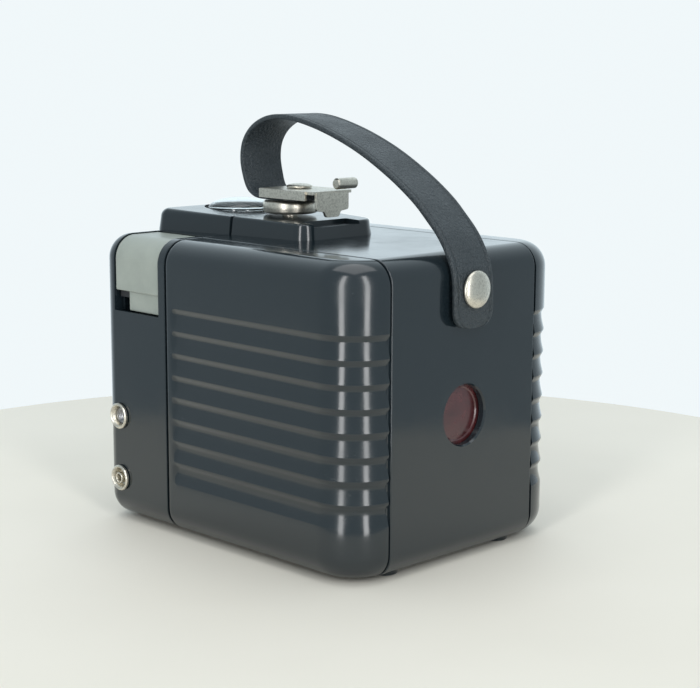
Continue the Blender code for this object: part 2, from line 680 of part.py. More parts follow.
def make_front_fittings():
    plate = extruded("face_plate", [rectangle(-30, 17, 30, 65.5, 5), circle(0, LENS_Z, 10.2, 40)],
                     "XZ", 54.3, 55.8, GREY)
    marks = []
    for i, x in enumerate((-25, 25)):
        marks.append(rod(f"face_hole_{i}", 1.4, (x, 50, LENS_Z), (0, 1, 0), 10, segments=16))
    for i in range(3):
        for j, z in enumerate((19.6 + 2.0 * i, 58.1 + 2.0 * i)):
            marks.append(box(f"plate_line_{i}_{j}", (-25, 55.3, z), (25, 57, z + 0.8)))
    cut(plate, *marks)
    turned("lens_ring", [(9.0, 3.4), (12.6, 3.4), (14.6, 2.6), (15.4, 1.2), (15.4, 0), (9.8, 0), (9.8, -5.6),
                         (7.8, -5.6), (7.8, -4.2), (9.0, -4.2)],
           (0, 56.1, LENS_Z), (0, 1, 0), NICKEL, 36, closed=True)
    front = [(8.7 * i / 4, 55.0 - 1.6 * (i / 4) ** 2) for i in range(5)]
    rear = [(8.7 * i / 2, 52.6 - 0.4 * (i / 2) ** 2) for i in range(2, -1, -1)]
    turned("taking_lens", [(r, y - 52) for r, y in (*front, *rear)], (0, 52, LENS_Z), (0, 1, 0), GLASS, 28)
    box("finder_front_lens", (-9.2, 54.6, 70.8), (9.2, 55.9, 88.2), GLASS)
    bevel(bpy.data.objects["finder_front_lens"], 0.5, 2)
    angles = [math.pi / 2 * i / 6 for i in range(7)]
    dome = [(FINDER_R * 0.93 * math.sin(a), 1.9 + 3.4 * math.cos(a)) for a in angles]
    profile = [*dome, (FINDER_R, 1.7), (FINDER_R, 0), (0, 0)]
    turned("finder_top_lens", profile, (0, FINDER_Y, 93.6), (0, 0, 1), GLASS, 32)
    chamber = box("finder_chamber", (-12.6, 29.4, 68.0), (12.6, 52.0, 91.5), TIN)
    cut(chamber, box("chamber_room", (-11.6, 30.4, 69.0), (11.6, 60, 99)))
    mirror = box("finder_mirror", (-11.0, -13.0, -0.6), (11.0, 13.0, 0.6), MIRROR)
    mirror.rotation_euler.x = math.radians(-45)
    mirror.location = Vector((0, 40.9, 80.2)) * MM
    keeper = box("latch_keeper", (-6, 27.9, 80), (6, 29.1, 91.4), STEEL)
    add(keeper, box("keeper_tongue", (-6, 22.6, 90.2), (6, 28.5, 91.4)))


# ----------------------------------------------------- shutter and its drive

def screw(name, at, towards, head_r, shank_r, length, look=STEEL):
    """A slotted screw whose head is at the far end of towards."""
    head = [(0, 1.1), (head_r - 0.4, 1.1), (head_r, 0.7), (head_r, 0)]
    made = turned(name, [*head, (shank_r, 0), (shank_r, -length), (0, -length)], at, towards, look, 10)
    slot = box(name + "_slot", (-head_r - 1, -0.25, 0.65), (head_r + 1, 0.25, 2))
    slot.location = made.location
    slot.rotation_euler = made.rotation_euler
    return cut(made, slot)


def make_shutter():
    holes = [circle(x, z, 1.5, 16) for x, z in POSTS]
    plate = extruded("shutter_plate", [rectangle(-26, 20, 26, 64, 4), circle(0, LENS_Z, 4.5, 24), *holes],
                     "XZ", SHUTTER_Y, SHUTTER_Y + 1.2, STEEL)
    for i, (x, z) in enumerate(POSTS):
        screw(f"shutter_screw_{i + 1}", (x, SHUTTER_Y - GAP, z), (0, -1, 0), 2.4, 1.2, 6.0)
    studs = (("blade_stud", BLADE_PIVOT, 3.2), ("drive_stud", DRIVE_PIVOT, 5.0))
    add(plate, *(rod(name, 1.2, (x, SHUTTER_Y + 0.6, z), (0, 1, 0), length, segments=16)
                 for name, (x, z), length in studs))
    outlines = [capsule(BLADE_PIVOT, (0, LENS_Z), 3.4, 6.4), circle(*BLADE_PIVOT, 1.5, 16)]
    blade = extruded("shutter_blade", outlines, "XZ", SHUTTER_Y + 1.8, SHUTTER_Y + 2.4, TIN)
    pivot("blade_axis", (BLADE_PIVOT[0], SHUTTER_Y + 2, BLADE_PIVOT[1]), blade)
    outlines = [capsule(DRIVE_PIVOT, DRIVE_TIP, 3.2, 3.0), circle(*DRIVE_PIVOT, 1.5, 16)]
    drive = extruded("drive_lever", outlines, "XZ", SHUTTER_Y + 3.3, SHUTTER_Y + 4.3, STEEL)
    pivot("drive_axis", (DRIVE_PIVOT[0], SHUTTER_Y + 4, DRIVE_PIVOT[1]), drive)


def coil(name, at, radius, wire, height, turns, look):
    """An upright coil spring."""
    made = new_curve(name, "3D")
    made.data.bevel_depth = wire * MM
    made.data.bevel_resolution = 1
    made.data.use_fill_caps = True
    count = turns * 8
    points = []
    for i in range(count + 1):
        angle = 2 * math.pi * turns * i / count
        rise = wire + (height - 2 * wire) * i / count
        points.append((at[0] + radius * math.cos(angle), at[1] + radius * math.sin(angle), at[2] + rise))
    add_spline(made, points, False)
    return add_object(name, mesh_of(made), look)


# ------------------------------------------------------------ film transport

def frustum(name, y0, half0, y1, half1, look=None):
    """A square tube section that narrows along +Y, about the lens axis."""
    bm = bmesh.new()
    side = math.sqrt(2)
    bmesh.ops.create_cone(bm, cap_ends=True, segments=4, radius1=half0 * side * MM, radius2=half1 * side * MM,
                          depth=(y1 - y0) * MM)
    turn = Matrix.Rotation(math.radians(-90), 4, "X") @ Matrix.Rotation(math.radians(45), 4, "Z")
    place = Matrix.Translation(Vector((0, (y0 + y1) / 2, LENS_Z)) * MM)
    bmesh.ops.transform(bm, matrix=place @ turn, verts=bm.verts)
    return from_bmesh(name, bm, look)


def make_film_frame():
    front = CARRIER_Y + 2.0
    cone = frustum("light_cone", GATE_Y + 1, GATE_HALF + 1.8, front - 0.5, 12.5, TIN)
    wide = SPOOL_HALF + 0.8
    flange = box("gate_flange", (-wide, GATE_Y, LENS_Z - 32), (wide, GATE_Y + 2, LENS_Z + 32))
    carrier = box("carrier", (-CHEEK_X + 0.6, CARRIER_Y, 7.5), (CHEEK_X - 0.6, front, 76.5))
    add(cone, flange, carrier)
    cut(cone, frustum("cone_room", GATE_Y - 1, GATE_HALF + 0.27, front + 1, 10.8))
    holes = []
    for i, (x, z) in enumerate(CARRIER_POSTS):
        holes.append(rod(f"carrier_hole_{i}", 1.5, (x, 20, z), (0, 1, 0), 12, segments=16))
        screw(f"carrier_screw_{i + 1}", (x, CARRIER_Y - GAP, z), (0, -1, 0), 2.6, 1.2, 7.0)
    for side, name in ((-1, "left"), (1, "right")):
        holes.append(rod(f"tab_hole_{name}", 1.5, (side * 29, 20, LENS_Z), (0, 1, 0), 12, segments=16))
        make_cheek(side, name)
        screw(f"cheek_screw_{name}", (side * 29, front + 1.8, LENS_Z), (0, 1, 0), 2.4, 1.2, 4.6)
    cut(cone, *holes)


def make_cheek(side, name):
    """A side plate that carries the spools and the rollers."""
    front = CARRIER_Y + 3.5
    top = LENS_Z + ROLLER_RISE + 3
    bottom = LENS_Z - ROLLER_RISE - 3
    rear = ROLLER_Y - 3
    slot = []
    if side > 0:
        end = WIND_Y + 3.1
        high, low = WIND_Z + 3.1, WIND_Z - 3.1
        slot = [(rear, high, 0), (end, high, 3.05), (end, low, 3.05), (rear, low, 0)]
    outline = rounded([(rear, bottom, 3), (14, bottom, 6), (front, 25, 3), (front, 62, 3), (14, top, 4),
                       (rear, top, 3), *slot])
    holes = [
        rectangle(-34, 30, 16, 58, 5),
        circle(ROLLER_Y, LENS_Z - ROLLER_RISE, 1.3, 16),
        circle(ROLLER_Y, LENS_Z + ROLLER_RISE, 1.3, 16),
        circle(WIND_Y, SUPPLY_Z, 1.8, 16),
    ]
    if side < 0:
        holes.append(circle(WIND_Y, WIND_Z, 1.8, 16))
    low, high = sorted((side * CHEEK_X, side * (CHEEK_X + CHEEK_THICK)))
    cheek = extruded(name + "_cheek", [outline, *holes], "YZ", low, high, STEEL)
    tab = [rectangle(side * 26, 38, side * (CHEEK_X + 0.6), 49, 0), circle(side * 29, LENS_Z, 1.5, 16)]
    add(cheek, extruded(name + "_tab", tab, "XZ", front - 1.2, front - 0.01))


def make_transport():
    for name, z in (("upper_roller", LENS_Z + ROLLER_RISE), ("lower_roller", LENS_Z - ROLLER_RISE)):
        end = SPOOL_HALF + 0.6
        half = [(0, end + 3), (1.0, end + 3), (1.0, end), (ROLLER_R - 0.3, end), (ROLLER_R, end - 0.4)]
        profile = half + [(r, -h) for r, h in reversed(half)]
        roller = turned(name, profile, (0, ROLLER_Y, z), (1, 0, 0), STEEL, 16)
        pivot(name + "_axis", (0, ROLLER_Y, z), roller)
    end = SPOOL_HALF
    half = [(SPOOL_BORE, end), (SPOOL_R - 0.4, end), (SPOOL_R, end - 0.4), (SPOOL_R, end - 0.8)]
    half += [(SPOOL_R - 0.4, end - 1.2), (5.2, end - 1.2)]
    profile = half + [(r, -h) for r, h in reversed(half)]
    spool = turned("take_up_spool", profile, (0, WIND_Y, WIND_Z), (1, 0, 0), TIN, 24, closed=True)
    cut(spool, box("key_slot", (30.4, WIND_Y - 15, WIND_Z - 0.85), (36, WIND_Y + 15, WIND_Z + 0.85)),
        box("film_slot", (-27, WIND_Y - 15, WIND_Z - 0.6), (27, WIND_Y - 1, WIND_Z + 0.6)))
    pivot("spool_axis", (0, WIND_Y, WIND_Z), spool)
    pins = (("take_up_pin", -1, WIND_Z, 5.6), ("supply_pin_left", -1, SUPPLY_Z, 6.3),
            ("supply_pin_right", 1, SUPPLY_Z, 6.3))
    for name, side, z, reach in pins:
        collar = reach - 5.4
        pin = [(0, reach), (2.0, reach), (2.6, reach - 0.6), (2.6, collar), (5.0, collar), (5.0, 0), (1.5, 0),
               (1.5, -1.6), (0, -1.6)]
        turned(name, pin, (side * (CHEEK_X - GAP), WIND_Y, z), (-side, 0, 0), STEEL, 12)


# ------------------------------------------------------------ flash contacts

def make_flash_contacts():
    for name, z in zip(("upper", "lower"), FLASH_Z):
        socket = turned(f"flash_socket_{name}", [(0, -5.0), (2.2, -5.0), (2.2, 0.9), (2.9, 1.2), (3.7, 1.2),
                                                 (4.0, 0.9), (4.0, 0.2), (3.1, 0.2), (3.1, -7.5), (0, -7.5)],
                        (-HALF - 0.1, FLASH_Y, z), (-1, 0, 0), NICKEL, 20)
        if name == "lower":
            socket.name = "flash_pin"
            profile = [(0, -4), (1.0, -4), (1.0, 0.6), (1.3, 0.8), (1.75, 0.6), (1.75, -6), (0, -6)]
            pin = turned("pin_tube", profile, (-HALF - 0.1, FLASH_Y, z), (-1, 0, 0), segments=12)
            add(socket, pin)
        strip = box(f"contact_strip_{name}", (-39.9, FLASH_Y - 4, z - 4), (-39.3, FLASH_Y + 4, z + 4), BRASS)
        arm = [(-39.85, FLASH_Y - 3), (-39.85, 38.6), (-27.2, 38.6), (-27.2, 39.2), (-39.35, 39.2)]
        arm.append((-39.35, FLASH_Y - 3))
        add(strip, extruded(f"strip_arm_{name}", [arm], "XY", z + 2.2, z + 5.2))
        cut(strip, rod(f"strip_hole_{name}", 3.4, (-45, FLASH_Y, z), (1, 0, 0), 10, segments=20))


make_rear_shell()
make_back_fittings()
make_latch(make_strap())
make_winder()
make_front_housing()
make_lever("bulb_lever", -1, True)
make_lever("release_lever", 1, False)
make_front_fittings()
make_shutter()
coil("release_spring", (35.2, 46.3, 60.9), 1.2, 0.28, 9.3, 5, STEEL)
for index, place in enumerate((-25, 25)):
    screw(f"face_screw_{index + 1}", (place, 56.1, LENS_Z), (0, 1, 0), 2.3, 0.9, 4.5, NICKEL)
make_film_frame()
make_transport()
make_flash_contacts()
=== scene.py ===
"""The looks of the box camera: smooth mouldings, grained strap, plated fittings, light and camera."""
import json
import math

import bmesh
import bpy
from mathutils import Matrix, Vector

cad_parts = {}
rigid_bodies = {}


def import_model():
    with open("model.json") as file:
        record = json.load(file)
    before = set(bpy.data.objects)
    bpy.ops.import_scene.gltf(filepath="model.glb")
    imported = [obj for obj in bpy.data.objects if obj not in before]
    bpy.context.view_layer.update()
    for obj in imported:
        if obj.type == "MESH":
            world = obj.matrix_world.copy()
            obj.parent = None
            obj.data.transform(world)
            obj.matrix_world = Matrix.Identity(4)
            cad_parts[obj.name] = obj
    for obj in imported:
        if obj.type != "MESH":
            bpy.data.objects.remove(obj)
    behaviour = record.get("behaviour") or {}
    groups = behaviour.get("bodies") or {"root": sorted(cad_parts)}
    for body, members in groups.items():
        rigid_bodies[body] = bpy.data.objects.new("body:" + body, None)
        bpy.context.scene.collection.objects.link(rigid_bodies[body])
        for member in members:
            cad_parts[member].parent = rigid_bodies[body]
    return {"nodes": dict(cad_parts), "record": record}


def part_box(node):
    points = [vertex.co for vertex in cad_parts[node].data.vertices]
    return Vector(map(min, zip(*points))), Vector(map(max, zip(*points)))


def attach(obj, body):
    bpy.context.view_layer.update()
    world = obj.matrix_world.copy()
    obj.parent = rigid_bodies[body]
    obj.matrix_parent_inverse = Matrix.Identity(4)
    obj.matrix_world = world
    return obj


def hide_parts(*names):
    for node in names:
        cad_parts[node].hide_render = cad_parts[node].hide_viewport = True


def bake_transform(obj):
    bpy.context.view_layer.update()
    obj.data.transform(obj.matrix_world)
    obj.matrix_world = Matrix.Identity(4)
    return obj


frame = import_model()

for startup_name in ("Cube", "Light", "Camera"):
    if startup_name in bpy.data.objects:
        bpy.data.objects.remove(bpy.data.objects[startup_name])
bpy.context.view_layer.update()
MM = 0.001
NODES = frame["nodes"]


def node_box(name):
    """The lowest and highest corner of a CAD node, in millimetres."""
    low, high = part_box(name)
    return Vector(low) / MM, Vector(high) / MM


SHELL_LOW, SHELL_HIGH = node_box("rear_shell")
HALF = -SHELL_LOW.x
BACK = SHELL_LOW.y + 0.05
SEAM_SHELL = SHELL_HIGH.y
SEAM_FRONT = SEAM_SHELL + 0.6
FRONT = -BACK
TOP = 89.5
BOTTOM = 0.8
PROUD = 0.05
CORNER = 14.6            # radius of the shell's upright corners
SHOULDER = 7.5           # radius of the upper edges
BELLY = 7.5              # radius of the lower edges
BAND = 30.5              # half width of the plain band between the lobes
GROOVE = 0.7             # width and depth of the line beside the band
BAND_EDGE = 7.0
RIM = 0.7                # rounding of the shell's front edge
WALL = 2.3
FRONT_EDGE = 6.0
FLUTES = 8
FLUTE_TOP = 70.0
FLUTE_PITCH = 6.7
FLUTE_DEPTH = 0.8
FLUTE_FRONT = SEAM_SHELL - 2.0
FLUTE_RUN_IN = 2.4       # length over which a flute reaches its depth at the front
LATCH_Y = 17.5
DISC_Z = 95.6            # underside of the latch disc
BUTTON_Z = 79.4
WIND_Y, WIND_Z = 8, 72   # axis of the winding knob
FOOT_X = 24
WINDOW_Z = 43.0
WINDOW_R = 8.7


# ---------------------------------------------------------------- materials

class Look:
    """A node material, built step by step."""

    def __init__(self, name, colour, roughness, metallic=0.0):
        self.material = bpy.data.materials.new(name)
        self.material.use_nodes = True
        self.tree = self.material.node_tree
        self.shader = self.tree.nodes["Principled BSDF"]
        self.shader.inputs["Base Color"].default_value = (*colour, 1.0)
        self.shader.inputs["Roughness"].default_value = roughness
        self.shader.inputs["Metallic"].default_value = metallic
        self.coordinates = self.tree.nodes.new("ShaderNodeTexCoord")

    def set(self, **values):
        for key, value in values.items():
            self.shader.inputs[key.replace("_", " ")].default_value = value
        return self

    def node(self, kind, **values):
        made = self.tree.nodes.new(kind)
        for key, value in values.items():
            if hasattr(made, key):
                setattr(made, key, value)
            else:
                made.inputs[key.replace("_", " ")].default_value = value
        return made

    def link(self, out, into):
        self.tree.links.new(out, into)

    def stretched(self, scale):
        mapping = self.node("ShaderNodeMapping")
        mapping.inputs["Scale"].default_value = scale
        self.link(self.coordinates.outputs["Object"], mapping.inputs["Vector"])
        return mapping.outputs["Vector"]

    def noise(self, scale, detail=3.0, roughness=0.5, stretch=(1, 1, 1)):
        made = self.node("ShaderNodeTexNoise", Scale=scale, Detail=detail, Roughness=roughness)
        self.link(self.stretched(stretch), made.inputs["Vector"])
        return made.outputs["Fac"]

    def cells(self, scale, feature="F1", stretch=(1, 1, 1)):
        made = self.node("ShaderNodeTexVoronoi", Scale=scale)
        made.feature = feature
        self.link(self.stretched(stretch), made.inputs["Vector"])
        return made.outputs["Distance"]

    def ranged(self, value, low, high, to_low, to_high):
        made = self.node("ShaderNodeMapRange")
        for key, number in (("From Min", low), ("From Max", high), ("To Min", to_low), ("To Max", to_high)):
            made.inputs[key].default_value = number
        self.link(value, made.inputs["Value"])
        return made.outputs["Result"]

    def added(self, first, second, operation="ADD"):
        made = self.node("ShaderNodeMath")
        made.operation = operation
        self.link(first, made.inputs[0])
        self.link(second, made.inputs[1])
        return made.outputs["Value"]

    def colour_from(self, value, low, high):
        made = self.node("ShaderNodeMix")
        made.data_type = "RGBA"
        made.inputs["A"].default_value = (*low, 1.0)
        made.inputs["B"].default_value = (*high, 1.0)
        self.link(value, made.inputs["Factor"])
        self.link(made.outputs["Result"], self.shader.inputs["Base Color"])
        return self

    def roughness_from(self, value):
        self.link(value, self.shader.inputs["Roughness"])
        return self

    def bump(self, value, strength, distance):
        made = self.node("ShaderNodeBump", Strength=strength, Distance=distance)
        self.link(value, made.inputs["Height"])
        self.link(made.outputs["Normal"], self.shader.inputs["Normal"])
        return self


def black_moulding():
    black = (0.010, 0.016, 0.020)
    look = Look("black_moulding", black, 0.16)
    look.set(Specular_IOR_Level=0.55, Coat_Weight=0.3, Coat_Roughness=0.10)
    smudges = look.ranged(look.noise(38, 4, 0.6), 0.42, 0.72, 0.11, 0.25)
    scratches = look.ranged(look.noise(900, 2, 0.5, (1.0, 0.06, 1.0)), 0.66, 0.8, 0.0, 0.12)
    look.roughness_from(look.added(smudges, scratches))
    dust = look.ranged(look.cells(1500), 0.0, 0.10, 1.0, 0.0)
    look.colour_from(dust, black, (0.055, 0.060, 0.064))
    return look.bump(look.noise(55, 2, 0.4), 0.05, 0.0004).material


def grey_plastic():
    look = Look("grey_plastic", (0.31, 0.335, 0.30), 0.38)
    mottle = look.noise(140, 4, 0.6)
    look.colour_from(look.ranged(mottle, 0.3, 0.7, 0.0, 1.0), (0.28, 0.305, 0.27), (0.33, 0.355, 0.315))
    look.roughness_from(look.ranged(mottle, 0.3, 0.7, 0.30, 0.46))
    return look.bump(look.noise(1400, 2, 0.5), 0.12, 0.0001).material


def strap_vinyl():
    look = Look("strap_vinyl", (0.012, 0.014, 0.019), 0.42)
    look.set(Specular_IOR_Level=0.45)
    grain = look.cells(1300, "SMOOTH_F1")
    pores_and_sheen = look.noise(2200, 3, 0.6)
    # lighter where the pore noise also raises the bump: partly the vinyl's own speckled tone, partly a painted
    # highlight on the raised grain
    look.colour_from(look.ranged(pores_and_sheen, 0.3, 0.75, 0.0, 1.0), (0.012, 0.018, 0.022), (0.042, 0.052, 0.058))
    look.roughness_from(look.ranged(look.noise(120, 3, 0.5), 0.3, 0.7, 0.34, 0.50))
    return look.bump(look.added(grain, pores_and_sheen), 0.9, 0.00035).material


def plated(name, colour, low, high, speck_scale=1700):
    """Plated or plain metal with fine scratches and dull specks."""
    look = Look(name, colour, 0.3, 1.0)
    specks = look.noise(speck_scale, 3, 0.65)
    scratches = look.noise(2200, 2, 0.5, (1.0, 0.08, 1.0))
    dark = tuple(c * 0.7 for c in colour)
    look.colour_from(look.ranged(specks, 0.34, 0.56, 0.0, 1.0), dark, colour)
    dull = look.ranged(specks, 0.3, 0.7, high, low)
    look.roughness_from(look.added(dull, look.ranged(scratches, 0.6, 0.8, 0.0, 0.2)))
    return look.bump(scratches, 0.08, 0.0001).material


def black_tin():
    look = Look("black_tin", (0.022, 0.022, 0.024), 0.5, 0.2)
    crackle = look.noise(2400, 3, 0.6)
    look.roughness_from(look.ranged(crackle, 0.3, 0.7, 0.4, 0.62))
    look.colour_from(look.ranged(crackle, 0.3, 0.7, 0.0, 1.0), (0.016, 0.016, 0.018), (0.035, 0.035, 0.037))
    return look.bump(crackle, 0.25, 0.0001).material


def ruby_plastic():
    look = Look("ruby_plastic", (0.06, 0.008, 0.010), 0.2)
    look.set(Specular_IOR_Level=0.6, Coat_Weight=0.5, Coat_Roughness=0.12)
    cloud = look.noise(160, 3, 0.6)
    look.colour_from(look.ranged(cloud, 0.3, 0.7, 0.0, 1.0), (0.040, 0.009, 0.010), (0.085, 0.016, 0.018))
    look.roughness_from(look.ranged(cloud, 0.3, 0.7, 0.16, 0.32))
    return look.material


def clear_lens():
    look = Look("clear_lens", (0.93, 0.96, 0.96), 0.04)
    look.set(Transmission_Weight=1.0, IOR=1.49)
    look.roughness_from(look.ranged(look.noise(90, 3, 0.5), 0.35, 0.75, 0.02, 0.09))
    return look.material


def mirror_glass():
    look = Look("mirror_glass", (0.85, 0.86, 0.87), 0.03, 1.0)
    look.roughness_from(look.ranged(look.noise(200, 3, 0.5), 0.4, 0.8, 0.02, 0.12))
    return look.material


LOOKS = {
    "black_moulding": black_moulding(),
    "grey_plastic": grey_plastic(),
    "strap_vinyl": strap_vinyl(),
    "nickel": plated("nickel", (0.72, 0.68, 0.59), 0.26, 0.44),
    "steel": plated("steel", (0.40, 0.40, 0.41), 0.25, 0.45),
    "black_tin": black_tin(),
    "brass": plated("brass", (0.58, 0.42, 0.19), 0.25, 0.45),
    "ruby_plastic": ruby_plastic(),
    "clear_lens": clear_lens(),
    "mirror_glass": mirror_glass(),
}
SLOT_OF = {part["node"]: part["material_slot"] for part in frame["record"]["subparts"]}
for node_name, node_object in NODES.items():
    if not node_object.material_slots:
        node_object.data.materials.append(None)
    for place in node_object.material_slots:
        place.material = LOOKS[SLOT_OF[node_name]]


# ------------------------------------------------------------------ helpers

def finished(made, slot_name, body, *replaced, sharp=35):
    """Gives a piece its shading, material, slot and body, and hides the CAD nodes that it stands for."""
    made.data.shade_smooth()
    made.data.set_sharp_from_angle(angle=math.radians(sharp))
    made.data.materials.clear()
    made.data.materials.append(LOOKS[slot_name])
    if replaced:
        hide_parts(*replaced)
    if body:
        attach(made, body)
    return made


def object_from(name, bm):
    bmesh.ops.remove_doubles(bm, verts=bm.verts, dist=0.000004)
    bmesh.ops.dissolve_degenerate(bm, dist=0.000002, edges=bm.edges)
    bmesh.ops.recalc_face_normals(bm, faces=bm.faces)
    mesh = bpy.data.meshes.new(name)
    bm.to_mesh(mesh)
    bm.free()
    made = bpy.data.objects.new(name, mesh)
    bpy.context.scene.collection.objects.link(made)
    return made


def grid(bm, rows, closed_rows=False, closed_columns=False):
    """Quads between rows of points in millimetres."""
    verts = [[bm.verts.new(Vector(p) * MM) for p in row] for row in rows]
    pairs = list(zip(verts, verts[1:]))
    if closed_columns:
        pairs.append((verts[-1], verts[0]))
    for first, second in pairs:
        count = len(first)
        for i in range(count if closed_rows else count - 1):
            bm.faces.new((first[i], first[(i + 1) % count], second[(i + 1) % count], second[i]))
    return verts


def plate_between(bm, outer, inner):
    """A closed wall between two grids of points that have the same rows and columns."""
    a = grid(bm, outer)
    b = grid(bm, inner)
    borders = [
        (a[0], b[0]), (a[-1], b[-1]),
        ([row[0] for row in a], [row[0] for row in b]),
        ([row[-1] for row in a], [row[-1] for row in b]),
    ]
    for first, second in borders:
        for i in range(len(first) - 1):
            bm.faces.new((first[i], first[i + 1], second[i + 1], second[i]))


def turned(name, profile, at, towards, slot_name, body, *replaced, segments=72, sharp=40, ring=False):
    """A round piece from (radius, height) points; a ring's profile closes on itself."""
    bm = bmesh.new()
    add_turned(bm, profile, at, towards, segments, ring)
    return finished(object_from(name, bm), slot_name, body, *replaced, sharp=sharp)


def add_turned(bm, profile, at, towards, segments=72, ring=False):
    turn = Vector((0, 0, 1)).rotation_difference(Vector(towards)).to_matrix()
    rows = []
    around = [2 * math.pi * i / segments for i in range(segments)]
    for radius, height in profile:
        ring = [Vector((radius * math.cos(a), radius * math.sin(a), height)) for a in around]
        rows.append([turn @ point + Vector(at) for point in ring])
    grid(bm, rows, closed_rows=True, closed_columns=ring)


def add_prism(bm, outline, plane, low, high):
    """A closed prism of a flat outline."""
    def place(u, v, w):
        return {"XZ": (u, w, v), "YZ": (w, u, v), "XY": (u, v, w)}[plane]
    near = [bm.verts.new(Vector(place(u, v, low)) * MM) for u, v in outline]
    far = [bm.verts.new(Vector(place(u, v, high)) * MM) for u, v in outline]
    bm.faces.new(near)
    bm.faces.new(far[::-1])
    for i in range(len(outline)):
        j = (i + 1) % len(outline)
        bm.faces.new((near[i], near[j], far[j], far[i]))


def add_box(bm, low, high):
    corners = [(low[0], low[1]), (high[0], low[1]), (high[0], high[1]), (low[0], high[1])]
    add_prism(bm, corners, "XY", low[2], high[2])


def prism(outline, plane, low, high):
    return lambda bm: add_prism(bm, outline, plane, low, high)


def box(low, high):
    return lambda bm: add_box(bm, low, high)


def rod(radius, at, towards, length, segments=64):
    profile = [(0, length), (radius, length), (radius, 0), (0, 0)]
    return lambda bm: add_turned(bm, profile, at, towards, segments)


def rounded(corners, steps=10):
    """The outline through (x, y, radius) corners, each rounded with an arc."""
    points = []
    for i, (x, y, radius) in enumerate(corners):
        here = Vector((x, y))
        if radius == 0:
            points.append(tuple(here))
            continue
        before = (Vector(corners[i - 1][:2]) - here).normalized()
        after = (Vector(corners[(i + 1) % len(corners)][:2]) - here).normalized()
        half = before.angle(after) / 2
        centre = here + (before + after).normalized() * radius / math.sin(half)
        first = here + before * radius / math.tan(half) - centre
        last = here + after * radius / math.tan(half) - centre
        turn = first.angle_signed(last)
        for step in range(steps + 1):
            points.append(tuple(centre + Matrix.Rotation(-turn * step / steps, 2) @ first))
    return points


def rectangle(x0, y0, x1, y1, radius, steps=10):
    return rounded([(x0, y0, radius), (x1, y0, radius), (x1, y1, radius), (x0, y1, radius)], steps)


def shrunk(outline, inset):
    """The outline moved inwards by the same distance all round."""
    area = sum(a[0] * b[1] - b[0] * a[1] for a, b in zip(outline, outline[1:] + outline[:1]))
    side = 1 if area > 0 else -1
    result = []
    for i, point in enumerate(outline):
        here = Vector(point)
        before = (here - Vector(outline[i - 1])).normalized()
        after = (Vector(outline[(i + 1) % len(outline)]) - here).normalized()
        normal = Vector((-before.y - after.y, before.x + after.x)).normalized() * side
        cosine = max(0.5, abs(normal.dot(Vector((-before.y, before.x)))))
        result.append(tuple(here + normal * inset / cosine))
    return result


def combined(made, operation, *builders):
    """Applies one Boolean with several closed shapes to a piece's mesh."""
    group = bpy.data.collections.new("operands")
    bpy.context.scene.collection.children.link(group)
    for build in builders:
        bm = bmesh.new()
        build(bm)
        other = object_from("operand", bm)
        bpy.context.scene.collection.objects.unlink(other)
        group.objects.link(other)
    modifier = made.modifiers.new("combine", "BOOLEAN")
    modifier.operation = operation
    modifier.operand_type = "COLLECTION"
    modifier.collection = group
    bpy.context.view_layer.update()
    graph = bpy.context.evaluated_depsgraph_get()
    result = bpy.data.meshes.new_from_object(made.evaluated_get(graph))
    made.modifiers.clear()
    made.data = result
    for other in list(group.objects):
        bpy.data.objects.remove(other)
    bpy.data.collections.remove(group)
    return made


def soft_edges(made, width, segments=3, angle=40):
    modifier = made.modifiers.new("soft_edges", "BEVEL")
    modifier.width = width * MM
    modifier.segments = segments
    modifier.limit_method = "ANGLE"
    modifier.angle_limit = math.radians(angle)
    return even_normals(made)


def even_normals(made):
    modifier = made.modifiers.new("even_normals", "WEIGHTED_NORMAL")
    modifier.keep_sharp = True
    return made


def arc(start, end, steps):
    return [math.radians(start + (end - start) * i / steps) for i in range(steps + 1)]


def eased(value):
    value = min(1.0, max(0.0, value))
    return value * value * (3 - 2 * value)


# --------------------------------------------------------------- rear shell

LOBE_END = BAND + GROOVE / 2
LOBE_AXIS = HALF - CORNER
REACH = LOBE_END - LOBE_AXIS


def flute_depth(share):
    """Depth at a share of the way down one flute: steeply in, then slowly out to the next ridge."""
    steep = 0.3
    if share < steep:
        return FLUTE_DEPTH * eased(share / steep)
    return FLUTE_DEPTH * math.cos(math.pi / 2 * (share - steep) / (1 - steep))


def lobe_profile():
    """(inset, height, outward normal across and up, flute depth) from the underside to the top."""
    rows = [(CORNER - REACH, BOTTOM, 0.0, -1.0, 0.0)]
    for a in arc(0, 90, 10):
        across, up = math.sin(a), -math.cos(a)
        rows.append((BELLY * (1 - across), BOTTOM + BELLY * (1 + up), across, up, 0.0))
    shares = [1 - i / 14 for i in range(10)] + [0.30 - 0.05 * i for i in range(6)]
    for flute in reversed(range(FLUTES)):
        for share in shares:
            height = FLUTE_TOP - FLUTE_PITCH * (flute + share)
            rows.append((0.0, height, 1.0, 0.0, flute_depth(share) if share < 1 else 0.0))
    rows.append((0.0, FLUTE_TOP, 1.0, 0.0, 0.0))
    for a in arc(0, 90, 14):
        across, up = math.cos(a), math.sin(a)
        rows.append((SHOULDER * (1 - across), TOP - SHOULDER * (1 - up), across, up, 0.0))
    rows.append((CORNER - REACH, TOP, 0.0, 1.0, 0.0))
    return rows


